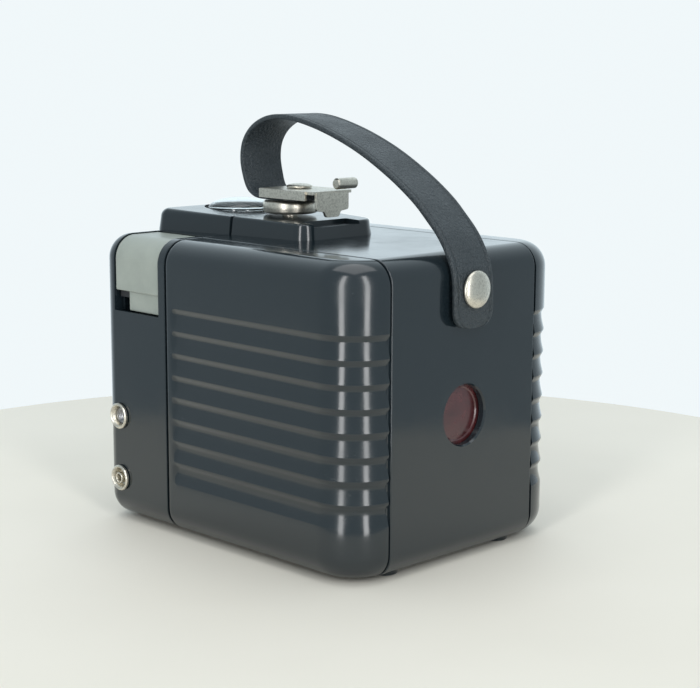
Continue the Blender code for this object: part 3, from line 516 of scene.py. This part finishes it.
def lobe_row(inset, height, across, up, flute, depth, side):
    """One row of a lobe: forward along the side, then round the back corner. depth moves it inwards."""
    points = []
    rim = [(SEAM_SHELL - RIM * (1 - math.cos(a)), RIM * (1 - math.sin(a))) for a in arc(0, 90, 4)]
    back = BACK + CORNER
    even = FLUTE_FRONT - FLUTE_RUN_IN
    runs = [FLUTE_FRONT + 0.6, *(FLUTE_FRONT - FLUTE_RUN_IN * i / 8 for i in range(9))]
    runs += [even - (even - back) * i / 10 for i in range(1, 11)]
    for y, edge in rim + [(y, 0.0) for y in runs]:
        cut_in = flute * eased((FLUTE_FRONT - y) / FLUTE_RUN_IN)
        edge = depth if depth else edge + cut_in
        points.append((side * (HALF - inset - edge * across), y, height - edge * up))
    radius = max(0.02, CORNER - inset - (depth if depth else flute) * across)
    end = math.acos(min(1.0, REACH / radius))
    for i in range(1, 29):
        angle = end * i / 28
        across_to = side * (LOBE_AXIS + radius * math.cos(angle))
        points.append((across_to, back - radius * math.sin(angle), height - depth * up))
    return points


def make_lobe(name, side):
    bm = bmesh.new()
    rows = lobe_profile()
    outer = [lobe_row(*row, 0.0, side) for row in rows]
    inner = [lobe_row(*row[:4], 0.0, WALL, side) for row in rows]
    plate_between(bm, outer, inner)
    return finished(object_from(name, bm), "black_moulding", "shell", sharp=60)


def make_groove(name, side):
    """The floor of the line between a lobe and the band."""
    def line(depth):
        points = [(SEAM_SHELL, BOTTOM + depth)]
        for inset, height, across, up, _ in lobe_profile()[1:]:
            radius = max(0.0, CORNER - inset)
            reach = math.sqrt(max(0.0, radius ** 2 - REACH ** 2))
            points.append((BACK + CORNER - reach + depth * across, height - depth * up))
        points.append((SEAM_SHELL, TOP - depth))
        return points
    bm = bmesh.new()
    ends = (side * (BAND - GROOVE), side * (BAND + GROOVE))
    outer = [[(x, y, z) for y, z in line(GROOVE)] for x in ends]
    inner = [[(x, y, z) for y, z in line(WALL)] for x in ends]
    plate_between(bm, outer, inner)
    return finished(object_from(name, bm), "black_moulding", "shell", sharp=60)


def band_line(depth):
    """The band's outline seen from the side, from the front of the underside round to that of the top."""
    low, high, back = BOTTOM - PROUD, TOP + PROUD, BACK - PROUD
    rim = [(SEAM_SHELL - RIM * (1 - math.cos(a)), RIM * (1 - math.sin(a))) for a in arc(0, 90, 4)]
    edge = [(BAND_EDGE * (1 - math.sin(a)), math.sin(a), math.cos(a)) for a in arc(0, 90, 12)]
    far_edge = [(BAND_EDGE * (1 - up), back_way, up) for _, back_way, up in reversed(edge)]
    points = [(y, low, 0.0, -1.0, inset) for y, inset in rim]
    for inset, back_way, up in edge:
        points.append((back + inset, low + BAND_EDGE * (1 - up), -back_way, -up, 0.0))
    for inset, back_way, up in far_edge:
        points.append((back + BAND_EDGE * (1 - back_way), high - inset, -back_way, up, 0.0))
    points += [(y, high, 0.0, 1.0, inset) for y, inset in reversed(rim)]
    if depth >= WALL:
        return [(y - depth * ny, z - depth * nz) for y, z, ny, nz, _ in points]
    return [(y - (depth + inset) * ny, z - (depth + inset) * nz) for y, z, ny, nz, inset in points]


def make_band():
    wide = BAND - GROOVE / 2
    edge = 0.35
    stations = [(-wide + edge * (1 - math.cos(a)), edge * (1 - math.sin(a))) for a in arc(0, 90, 3)]
    stations += [(-x, e) for x, e in reversed(stations)]
    bm = bmesh.new()
    outer = [[(x, y, z) for y, z in band_line(e)] for x, e in stations]
    inner = [[(x, y, z) for y, z in band_line(WALL)] for x, _ in stations]
    plate_between(bm, outer, inner)
    made = object_from("shell_band", bm)
    hole = [(0, 8.0), (WINDOW_R, 8.0), (WINDOW_R, 5.5), (WINDOW_R + 0.45, 4.9), (WINDOW_R + 0.45, 0), (0, 0)]
    combined(made, "DIFFERENCE",
             lambda b: add_turned(b, hole, (0, BACK - 5, WINDOW_Z), (0, 1, 0), 96),
             rod(2.3, (0, BACK - 5, BUTTON_Z), (0, 1, 0), 10),
             rod(6.0, (0, LATCH_Y, 80), (0, 0, 1), 20))
    even_normals(made)
    return finished(made, "black_moulding", "shell", "rear_shell")


def block(name, outline, rise_at, joint, edge_at):
    """A low raised block on the top with drafted sides and a rounded upper edge, flat where y = joint."""
    bm = bmesh.new()
    draft = 0.6
    rows = [[(x, y, TOP - 1.5) for x, y in outline], [(x, y, TOP) for x, y in outline]]
    inwards = [Vector(b) - Vector(a) for a, b in zip(outline, shrunk(outline, 1.0))]
    for a in arc(0, 90, 7):
        ring = []
        for (x, y), step in zip(outline, inwards):
            edge = edge_at(y)
            spot = Vector((x, y)) + step * (draft + edge * (1 - math.cos(a)))
            if abs(y - joint) < 0.01:
                spot.y = joint
            ring.append((spot.x, spot.y, TOP + rise_at(spot.y) - edge * (1 - math.sin(a))))
        rows.append(ring)
    verts = grid(bm, rows, closed_rows=True)
    bm.faces.new(verts[-1])
    bm.faces.new(verts[0])
    return object_from(name, bm)


def make_rear_block():
    corners = [(-15.3, -5.3, 5.6), (15.3, -5.3, 5.6), (18.6, SEAM_SHELL, 0), (-18.6, SEAM_SHELL, 0)]
    outline = rounded(corners, 12)
    made = block("shell_block", outline, lambda y: 4.8 + 0.8 * (y + 5.3) / 29.3, SEAM_SHELL, lambda y: 0.9)
    combined(made, "DIFFERENCE", box((-11.0, -9, 93.2), (8.0, 1.2, 99)))
    return finished(even_normals(made), "black_moulding", "shell")


FOOT = ((0, 2.0), (4.0, 2.0), (4.0, 0.35), (3.9, 0.1), (3.6, 0), (0, 0))


def make_shell_details():
    boss = [(4.6, 11.3), (11.9, 11.3), (12.5, 11.05), (12.8, 10.5), (12.8, 0), (4.6, 0)]
    turned("knob_boss", boss, (34, WIND_Y, WIND_Z), (1, 0, 0), "black_moulding", "shell", ring=True, segments=96)
    for side, name in ((-1, "left"), (1, "right")):
        turned(f"rear_foot_{name}", FOOT, (FOOT_X * side, BACK + 8.5, 0), (0, 0, 1), "black_moulding", "shell",
               segments=48)
        make_lobe(f"shell_lobe_{name}", side)
        make_groove(f"shell_groove_{name}", side)
    bm = bmesh.new()
    add_box(bm, (-12, -12, 0), (12, 12, 2))
    finished(soft_edges(object_from("base_pad", bm), 0.25), "black_moulding", "shell")


# ------------------------------------------------------------ front housing

def housing_shape(bm):
    """The outer form of the front unit, rounded over at its front edge."""
    def ring(inset):
        wide, low, high = HALF - inset, BOTTOM + inset, TOP - inset
        return rounded([(-wide, low, BELLY - inset), (wide, low, BELLY - inset),
                        (wide, high, SHOULDER - inset), (-wide, high, SHOULDER - inset)], 16)
    rows = [(SEAM_FRONT, 0.4), (SEAM_FRONT + 0.12, 0.12), (SEAM_FRONT + 0.4, 0.0)]
    rows += [(FRONT - FRONT_EDGE * (1 - math.sin(a)), FRONT_EDGE * (1 - math.cos(a))) for a in arc(0, 90, 10)]
    verts = grid(bm, [[(x, y, z) for x, z in ring(inset)] for y, inset in rows], closed_rows=True)
    bm.faces.new(verts[0])
    bm.faces.new(verts[-1])


POSTS = ((-21.0, 60.0), (-21.0, 25.0), (21.0, 25.0))
CARRIER_POSTS = ((-30.0, 12.0), (30.0, 12.0), (-22.0, 72.0), (22.0, 72.0))
FINDER_Y = 40.7
FINDER_R = 11.4
LENS_Z = 43.5
LEVER_Y = (27.8, 48.7)
LIP_STEP = 2.7           # how far the light lip stands inside the outer face


def block_object_shape(bm):
    corners = [(-19.0, SEAM_FRONT, 0), (19.0, SEAM_FRONT, 0), (25.5, 54.6, 4.2), (-25.5, 54.6, 4.2)]
    outline = rounded(corners, 8)
    made = block("front_block", outline, lambda y: 5.6 + 1.2 * (y - SEAM_FRONT) / 30, SEAM_FRONT,
                 lambda y: 0.9 + 1.9 * eased((y - 44) / 10))
    bm.from_mesh(made.data)
    bpy.data.objects.remove(made)


def make_front_housing():
    bm = bmesh.new()
    housing_shape(bm)
    made = object_from("front_body", bm)
    lip = rectangle(LIP_STEP - HALF, BOTTOM + LIP_STEP, HALF - LIP_STEP, TOP - LIP_STEP, SHOULDER - LIP_STEP)
    feet = [lambda b, x=x: add_turned(b, FOOT, (x, FRONT - 11, 0), (0, 0, 1), 48) for x in (-FOOT_X, FOOT_X)]
    tower = rounded([(-13, 67.5, 1.2), (13, 67.5, 1.2), (13, 94.6, 1.2), (-13, 94.6, 1.2)], 5)
    combined(made, "UNION", prism(lip, "XZ", 21.3, 28.6), block_object_shape,
             prism(tower, "XZ", 48, FRONT + 0.3), *feet)
    room = [(-38, 58), (38, 58), (38, 72), (31.5, 79.5), (-31.5, 79.5), (-38, 72)]
    combined(made, "DIFFERENCE", box((-40.4, 15, 4.4), (40.4, 52.8, 61)), prism(room, "XZ", 15.1, 52.8),
             box((-13.4, 15, 60), (13.4, 52.4, 92.6)))
    posts = [rod(2.7, (x, 41.5, z), (0, 1, 0), 12, 24) for x, z in POSTS]
    posts += [rod(3.0, (x, 28.6, z), (0, 1, 0), 25, 24) for x, z in CARRIER_POSTS]
    combined(made, "UNION", *posts, box((32.5, 44.8, 57.5), (41.5, 49.4, 60.6)))
    holes = []
    for side in (-1, 1):
        ends = sorted((side * 31, side * 43))
        holes.append(box((ends[0], 41.2, 65.4), (ends[1], 48.4, 78)))
        step = [(41, 66.3), (50, 66.3), (50, 99), (27, 99), (27, 81.6), (31, 81.6), (41, 73.6)]
        holes.append(prism([(side * x, z) for x, z in step], "XZ", 27.5, 49.0))
    holes += [
        prism(rectangle(-30.4, 16.6, 30.4, 65.9, 5.4), "XZ", 54.0, 60),
        rod(10.2, (0, 50, LENS_Z), (0, 1, 0), 12),
        box((-8, 50, 72), (8, 60, 87)),
        prism(rectangle(-9.5, 70.5, 9.5, 88.5, 0.8, 4), "XZ", 54.3, 60),
        rod(FINDER_R - 0.9, (0, FINDER_Y, 88), (0, 0, 1), 15, 96),
        rod(FINDER_R + 0.3, (0, FINDER_Y, 93.3), (0, 0, 1), 9, 96),
    ]
    holes += [rod(3.4, (-50, 47.2, z), (1, 0, 0), 12, 32) for z in (33.3, 13.6)]
    combined(made, "DIFFERENCE", *holes)
    return finished(even_normals(made), "black_moulding", "front_unit", "front_housing")


def make_lever(name, node, body, side):
    """A cap that follows the shoulder, with a dark arm inside; the left one has a lower step."""
    bm = bmesh.new()
    def path(depth):
        radius = SHOULDER - 0.35 - depth
        centre = Vector((HALF - SHOULDER, TOP - SHOULDER))
        bend = [centre + radius * Vector((math.sin(a), math.cos(a))) for a in arc(0, 90, 16)]
        return [(27.5, TOP - 0.35 - depth), *bend, (HALF - 0.35 - depth, 72.6)]
    y0, y1 = LEVER_Y
    outer = [[(side * x, y, z) for x, z in path(0)] for y in (y0, y1)]
    inner = [[(side * x, y, z) for x, z in path(2.2)] for y in (y0, y1)]
    plate_between(bm, outer, inner)
    if side < 0:
        add_box(bm, (-43.3, y0, 66.6), (-41.4, 43.2, 75))
    finished(soft_edges(object_from(name, bm), 0.4, 4), "grey_plastic", body, node)
    arm = sorted((side * 29, side * 42.8))
    bm = bmesh.new()
    add_box(bm, (arm[0], 41.5, 70.5), (arm[1], 48.0, 73.2))
    finished(object_from(name + "_arm", bm), "black_tin", body)


# ------------------------------------------------------------ carrying strap

OUT = BACK - 3.2
STRAP_ROUTE = (
    (OUT, 68.5), (OUT, 74.5), (OUT + 0.15, 80.5), (-57.6, 85.2), (-55.6, 89.9), (-52.3, 94.8),
    (-47.8, 99.4), (-42.3, 104.3), (-33.2, 110.4), (-21.2, 116.8), (-8.4, 121.8), (4.0, 125.1), (13.2, 126.1),
    (20.8, 125.2), (27.0, 122.2), (30.9, 117.6), (32.0, 112.0), (30.9, 106.4), (29.2, 102.6), (26.6, 100.7),
    (23.2, 100.0), (16.0, 100.0), (8.0, 100.0),
)
CROWN = 12           # the route's highest point, where the strap's two pieces meet
ROUTE_STEPS = 8      # curve points for each stretch of the route
STRAP_HALF = 8.1
STRAP_THICK = 1.6


def smooth_route(points, steps=ROUTE_STEPS):
    """More points between the given ones, on a Catmull-Rom curve."""
    ends = [points[0], *points, points[-1]]
    route = []
    for i in range(len(points) - 1):
        a, b, c, d = (Vector(p) for p in ends[i:i + 4])
        for step in range(steps):
            t = step / steps
            route.append(0.5 * ((2 * b) + (c - a) * t + (2 * a - 5 * b + 4 * c - d) * t * t
                                + (3 * b - a - 3 * c + d) * t ** 3))
    return [*route, Vector(points[-1])]


def strap_section():
    """Points (across, outwards) round the strap: rounded edges, and a bead along both on its outer side."""
    half = [(8.1, -0.55), (8.02, -0.25), (7.85, -0.08), (7.6, 0.0), (7.1, 0.0), (6.85, -0.05), (6.7, -0.16),
            (6.45, -0.16), (6.3, -0.06), (6.0, -0.02), (3.0, 0.0)]
    under = [(-7.6, -STRAP_THICK), (-7.9, -1.5), (-8.1, -1.2)]
    outer = [(-x, v) for x, v in half] + [(x, v) for x, v in reversed(half)]
    return outer + [(-x, v) for x, v in reversed(under)] + under


def make_strap():
    route = smooth_route(STRAP_ROUTE)
    section = strap_section()
    lengths = [0.0]
    for a, b in zip(route, route[1:]):
        lengths.append(lengths[-1] + (b - a).length)
    rows = []
    for i, here in enumerate(route):
        tangent = (route[min(i + 1, len(route) - 1)] - route[max(i - 1, 0)]).normalized()
        normal = Vector((-tangent.y, tangent.x))
        half = STRAP_HALF
        if lengths[i] < 5:
            half = STRAP_HALF - 5 + math.sqrt(max(0.0, 25 - (5 - lengths[i]) ** 2))
        tail = eased((i - 130) / 20)
        half -= 0.35 * tail
        rows.append([(u * half / STRAP_HALF, *(here + normal * v)) for u, v in section])
    split = CROWN * ROUTE_STEPS
    made = []
    for name, part in (("strap_back", rows[:split + 1]), ("strap_front", rows[split:])):
        bm = bmesh.new()
        verts = grid(bm, part, closed_rows=True)
        for end in (verts[0], verts[-1]):
            bm.faces.new(end)
        made.append(object_from(name, bm))
    finished(made[0], "strap_vinyl", "shell", "strap", sharp=50)
    finished(made[1], "strap_vinyl", None, "strap_tail", sharp=50)
    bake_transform(made[1])


# ---------------------------------------------------------- metal and lenses

def make_latch():
    height = 4.0
    profile = [(0, height), (7.3, height), (7.9, height - 0.12), (8.3, height - 0.45), (8.5, height - 1.0),
               (8.5, 1.5), (8.42, 1.25), (8.42, 0.9), (8.3, 0.5), (8.0, 0.15), (7.5, 0), (2.4, 0),
               (2.4, -9.6), (0, -9.6)]
    turned("disc", profile, (0, LATCH_Y, DISC_Z), (0, 0, 1), "nickel", "latch", "latch_disc", segments=96)
    bm = bmesh.new()
    add_box(bm, (-8.1, -1.1, 102.5), (8.1, 22.4, 103.4))
    made = object_from("plate", bm)
    lip = rounded([(-6.7, 103.0, 0), (6.7, 103.0, 0), (6.7, 97.6, 0.8), (3.4, 97.2, 1.0), (2.6, 95.5, 1.0),
                   (-2.6, 95.5, 1.0), (-3.4, 97.2, 1.0), (-6.7, 97.6, 0.8)], 6)
    combined(made, "UNION", prism(lip, "XZ", -1.35, -0.4), box((-8.7, 1.8, 100.6), (-8.0, 22.35, 103.35)),
             box((8.0, 1.8, 100.6), (8.7, 22.35, 103.35)))
    finished(soft_edges(made, 0.22), "nickel", "latch", "latch_plate")
    dome = [(4.0 * math.sin(a), 0.9 * math.cos(a)) for a in arc(0, 90, 10)]
    turned("rivet", [*dome, (3.9, -0.3), (1.5, -0.3), (1.5, -6.0), (0, -6.0)], (0, 13.4, 104.0), (0, 0, 1),
           "nickel", "latch", "latch_rivet")
    ends = [(1.7 - 0.5 * (1 - math.cos(a)), 8.2 - 0.5 * (1 - math.sin(a))) for a in arc(90, 0, 5)]
    turned("roll", [(0, 7.9), (0.7, 7.9), (0.9, 8.2), *ends, (1.7, 0.4), (1.3, 0), (0, 0)],
           (1.5, -1.0, 105.4), (1, 0, 0), "nickel", "latch", "latch_roll", segments=40)


def make_back_fittings():
    disc_y = BACK + WALL + 0.3
    lens = [(0, 1.4), (7.0, 1.4), (7.2, 1.2), (10.4, 1.2), (10.4, 0), (7.9, 0), (7.5, 0.25), (0, 0.25)]
    turned("ruby", lens, (0, disc_y, WINDOW_Z), (0, 1, 0), "ruby_plastic", "shell", "ruby_window",
           segments=96, sharp=30)
    turned("ruby_frame", [(8.0, 2.6), (12.6, 2.6), (12.6, 0), (10.8, 0), (10.8, 1.6), (8.0, 1.6)],
           (0, disc_y, WINDOW_Z), (0, 1, 0), "black_tin", "shell", "window_frame", ring=True)
    dome = [(5.35 * math.sin(a), 1.9 * math.cos(a)) for a in arc(0, 90, 14)]
    profile = [*dome, (5.3, -0.3), (5.0, -0.5), (1.9, -0.5), (1.9, -8.6), (0, -8.6)]
    turned("button", profile, (0, OUT - 0.6, BUTTON_Z), (0, -1, 0), "nickel", "shell", "strap_button",
           segments=96)


def make_knob():
    profile = [(0, 6.0), (8.2, 6.0), (8.7, 6.4), (9.1, 7.0), (10.2, 7.0), (11.0, 6.7), (11.4, 6.1),
               (11.5, 5.5), (11.5, 5.0), (11.5, 1.2), (11.5, 0.7), (11.0, 0.1), (10.6, 0), (2.5, 0),
               (2.5, -11.9), (0, -11.9)]
    count = 16
    segments = count * 10
    turn = Vector((0, 0, 1)).rotation_difference(Vector((1, 0, 0))).to_matrix()
    rows = []
    for radius, height in profile:
        row = []
        for i in range(segments):
            angle = 2 * math.pi * i / segments
            notch = max(0.0, math.cos(angle * count) - 0.4) / 0.6
            ring = radius - (0.55 * notch if radius > 11.3 and 1.0 < height < 5.2 else 0.0)
            place = Vector((ring * math.cos(angle), ring * math.sin(angle), height))
            row.append(turn @ place + Vector((46.3, WIND_Y, WIND_Z)))
        rows.append(row)
    bm = bmesh.new()
    grid(bm, rows, closed_rows=True)
    add_box(bm, (30.8, 5.7, 71.5), (35.5, 10.3, 72.5))
    finished(object_from("knob", bm), "black_moulding", "knob", "winding_knob", sharp=40)


def make_flash_contacts():
    """A threaded socket above, and below it a cup with a hollow pin, both with a rolled rim."""
    rim = [(2.9, 0.5), (3.3, 1.1), (3.5, 1.2), (3.75, 1.1), (4.0, 0.8), (4.0, 0.2), (3.1, 0.2), (3.1, -7.5)]
    upper = (-HALF - 0.1, 47.2, 33.3)
    lower = (-HALF - 0.1, 47.2, 13.6)
    outwards = (-1, 0, 0)
    thread = []
    for i in range(8):
        thread += [(2.2, -5.0 + 0.6 * i), (1.85, -4.7 + 0.6 * i)]
    turned("flash_socket", [(2.5, -0.6), *rim, (2.5, -7.5)], upper, outwards, "nickel", "front_unit",
           "flash_socket_upper", segments=64, sharp=30, ring=True)
    turned("flash_thread", [(0, -5.2), *thread, (2.4, -0.5), (2.4, -5.6), (0, -5.6)], upper, outwards,
           "steel", "front_unit", segments=48, sharp=30)
    turned("flash_cup", [(1.85, -1.2), (2.4, -1.0), *rim, (1.85, -7.5)], lower, outwards, "nickel",
           "front_unit", "flash_pin", segments=64, sharp=30, ring=True)
    pin = [(1.15, 0.8), (1.3, 1.1), (1.5, 1.15), (1.7, 1.0), (1.75, 0.7), (1.75, -6), (1.15, -6)]
    turned("flash_hollow_pin", pin, lower, outwards, "nickel", "front_unit", segments=48, ring=True)
    # a dark plug a little way down the hollow pin: painted shade for the depth of its bore
    turned("flash_pin_hole", [(0, -0.8), (1.05, -0.8), (1.05, -4), (0, -4)], lower, outwards, "black_tin",
           "front_unit", segments=32)


def make_lenses():
    ring = [(9.0, 3.2), (9.2, 3.4), (12.4, 3.4), (12.8, 3.25), (14.4, 2.6), (15.1, 1.9), (15.4, 1.0),
            (15.4, 0), (9.8, 0), (9.8, -5.6), (7.8, -5.6), (7.8, -4.2), (9.0, -4.2)]
    turned("front_ring", ring, (0, 56.1, LENS_Z), (0, 1, 0), "nickel", "front_unit", "lens_ring",
           ring=True, segments=96)
    front = [(8.7 * i / 10, 3.0 - 1.6 * (i / 10) ** 2) for i in range(11)]
    rear = [(8.7 * i / 6, 0.6 - 0.4 * (i / 6) ** 2) for i in range(6, -1, -1)]
    turned("front_glass", [*front, *rear], (0, 52, LENS_Z), (0, 1, 0), "clear_lens", "front_unit",
           "taking_lens")
    dome = [(FINDER_R * 0.93 * math.sin(a), 1.9 + 3.4 * math.cos(a)) for a in arc(0, 90, 16)]
    turned("finder_dome", [*dome, (FINDER_R - 0.2, 1.8), (FINDER_R, 1.6), (FINDER_R, 0), (0, 0)],
           (0, FINDER_Y, 93.6), (0, 0, 1), "clear_lens", "front_unit", "finder_top_lens", segments=96)


make_band()
make_shell_details()
make_rear_block()
make_front_housing()
make_lever("bulb_cap", "bulb_lever", "bulb", -1)
make_lever("release_cap", "release_lever", "release", 1)
make_strap()
make_latch()
make_back_fittings()
make_knob()
make_flash_contacts()
make_lenses()


# ---------------------------------------------------- floor, light and camera

VIEW_YAW = math.radians(44.8)
VIEW_PITCH = math.radians(10.0)
VIEW_ROLL = math.radians(0.21)
TABLE_R = 214            # radius of the round table top, in millimetres
LIGHT_ANGLE = 26.5       # degrees from the camera to each softbox
LIGHT_AWAY = 1.15
LIGHT_CENTRE = 0.55
LIGHT_SIZE = (0.21, 2.0)
LIGHT_WATTS = 8.8
OVERHEAD_AT = 1.5
OVERHEAD_SIZE = 1.2
OVERHEAD_WATTS = 6.5


def make_stage():
    bm = bmesh.new()
    profile = [(0, 0), (TABLE_R - 1.5, 0), (TABLE_R, -1.5), (TABLE_R, -25), (0, -25)]
    add_turned(bm, profile, (0, 0, -0.02), (0, 0, 1), 160)
    floor = object_from("turntable", bm)
    floor.data.shade_smooth()
    floor.data.set_sharp_from_angle(angle=math.radians(30))
    look = Look("floor_cream", (0.82, 0.77, 0.68), 0.62)
    cloud = look.noise(9, 3, 0.5)
    look.colour_from(look.ranged(cloud, 0.3, 0.7, 0.0, 1.0), (0.80, 0.75, 0.66), (0.84, 0.79, 0.70))
    look.set(Specular_IOR_Level=0.25)
    floor.data.materials.append(look.material)


def make_world():
    """Bright behind the object, dimmer at the sides, and evenly pale where the camera sees it."""
    world = bpy.data.worlds.new("studio")
    bpy.context.scene.world = world
    world.use_nodes = True
    tree = world.node_tree
    tree.nodes.clear()
    make = tree.nodes.new
    link = tree.links.new
    place = make("ShaderNodeTexCoord")
    dot = make("ShaderNodeVectorMath")
    dot.operation = "DOT_PRODUCT"
    dot.inputs[1].default_value = (math.sin(VIEW_YAW), math.cos(VIEW_YAW), 0.0)
    link(place.outputs["Generated"], dot.inputs[0])
    ranged = make("ShaderNodeMapRange")
    for key, value in (("From Min", 0.2), ("From Max", 0.85), ("To Min", 0.54), ("To Max", 1.15)):
        ranged.inputs[key].default_value = value
    link(dot.outputs["Value"], ranged.inputs["Value"])
    lit = make("ShaderNodeBackground")
    lit.inputs["Color"].default_value = (0.80, 0.93, 1.0, 1.0)
    link(ranged.outputs["Result"], lit.inputs["Strength"])
    seen = make("ShaderNodeBackground")
    seen.inputs["Color"].default_value = (0.875, 0.935, 0.955, 1.0)
    seen.inputs["Strength"].default_value = 1.0
    mix = make("ShaderNodeMixShader")
    path = make("ShaderNodeLightPath")
    link(path.outputs["Is Camera Ray"], mix.inputs["Fac"])
    link(lit.outputs["Background"], mix.inputs[1])
    link(seen.outputs["Background"], mix.inputs[2])
    output = make("ShaderNodeOutputWorld")
    link(mix.outputs["Shader"], output.inputs["Surface"])


def make_lights():
    """Two tall upright softboxes, one on each side of the camera, and a broad one overhead."""
    to_camera = Vector((-math.sin(VIEW_YAW), -math.cos(VIEW_YAW), 0.0))
    for name, degrees in (("softbox_left", -LIGHT_ANGLE), ("softbox_right", LIGHT_ANGLE)):
        data = bpy.data.lights.new(name, "AREA")
        data.shape = "RECTANGLE"
        data.size, data.size_y = LIGHT_SIZE
        data.energy = LIGHT_WATTS
        made = bpy.data.objects.new(name, data)
        bpy.context.scene.collection.objects.link(made)
        direction = Matrix.Rotation(math.radians(degrees), 3, "Z") @ to_camera
        made.location = direction * LIGHT_AWAY + Vector((0, 0, LIGHT_CENTRE))
        made.rotation_euler = (-direction).to_track_quat("-Z", "Y").to_euler()
    data = bpy.data.lights.new("overhead", "AREA")
    data.size = OVERHEAD_SIZE
    data.energy = OVERHEAD_WATTS
    made = bpy.data.objects.new("overhead", data)
    made.location.z = OVERHEAD_AT
    bpy.context.scene.collection.objects.link(made)


def make_camera():
    data = bpy.data.cameras.new("camera")
    data.sensor_width = 36.0
    data.lens = 83.98
    made = bpy.data.objects.new("camera", data)
    bpy.context.scene.collection.objects.link(made)
    made.location = (-0.3430, -0.3543, 0.1434)
    level = math.cos(VIEW_PITCH)
    direction = Vector((math.sin(VIEW_YAW) * level, math.cos(VIEW_YAW) * level, -math.sin(VIEW_PITCH)))
    made.rotation_mode = "QUATERNION"
    roll = Matrix.Rotation(VIEW_ROLL, 3, "Z").to_quaternion()
    made.rotation_quaternion = direction.to_track_quat("-Z", "Y") @ roll
    bpy.context.scene.camera = made


make_stage()
make_world()
make_lights()
make_camera()
bpy.context.scene.view_settings.view_transform = "Standard"
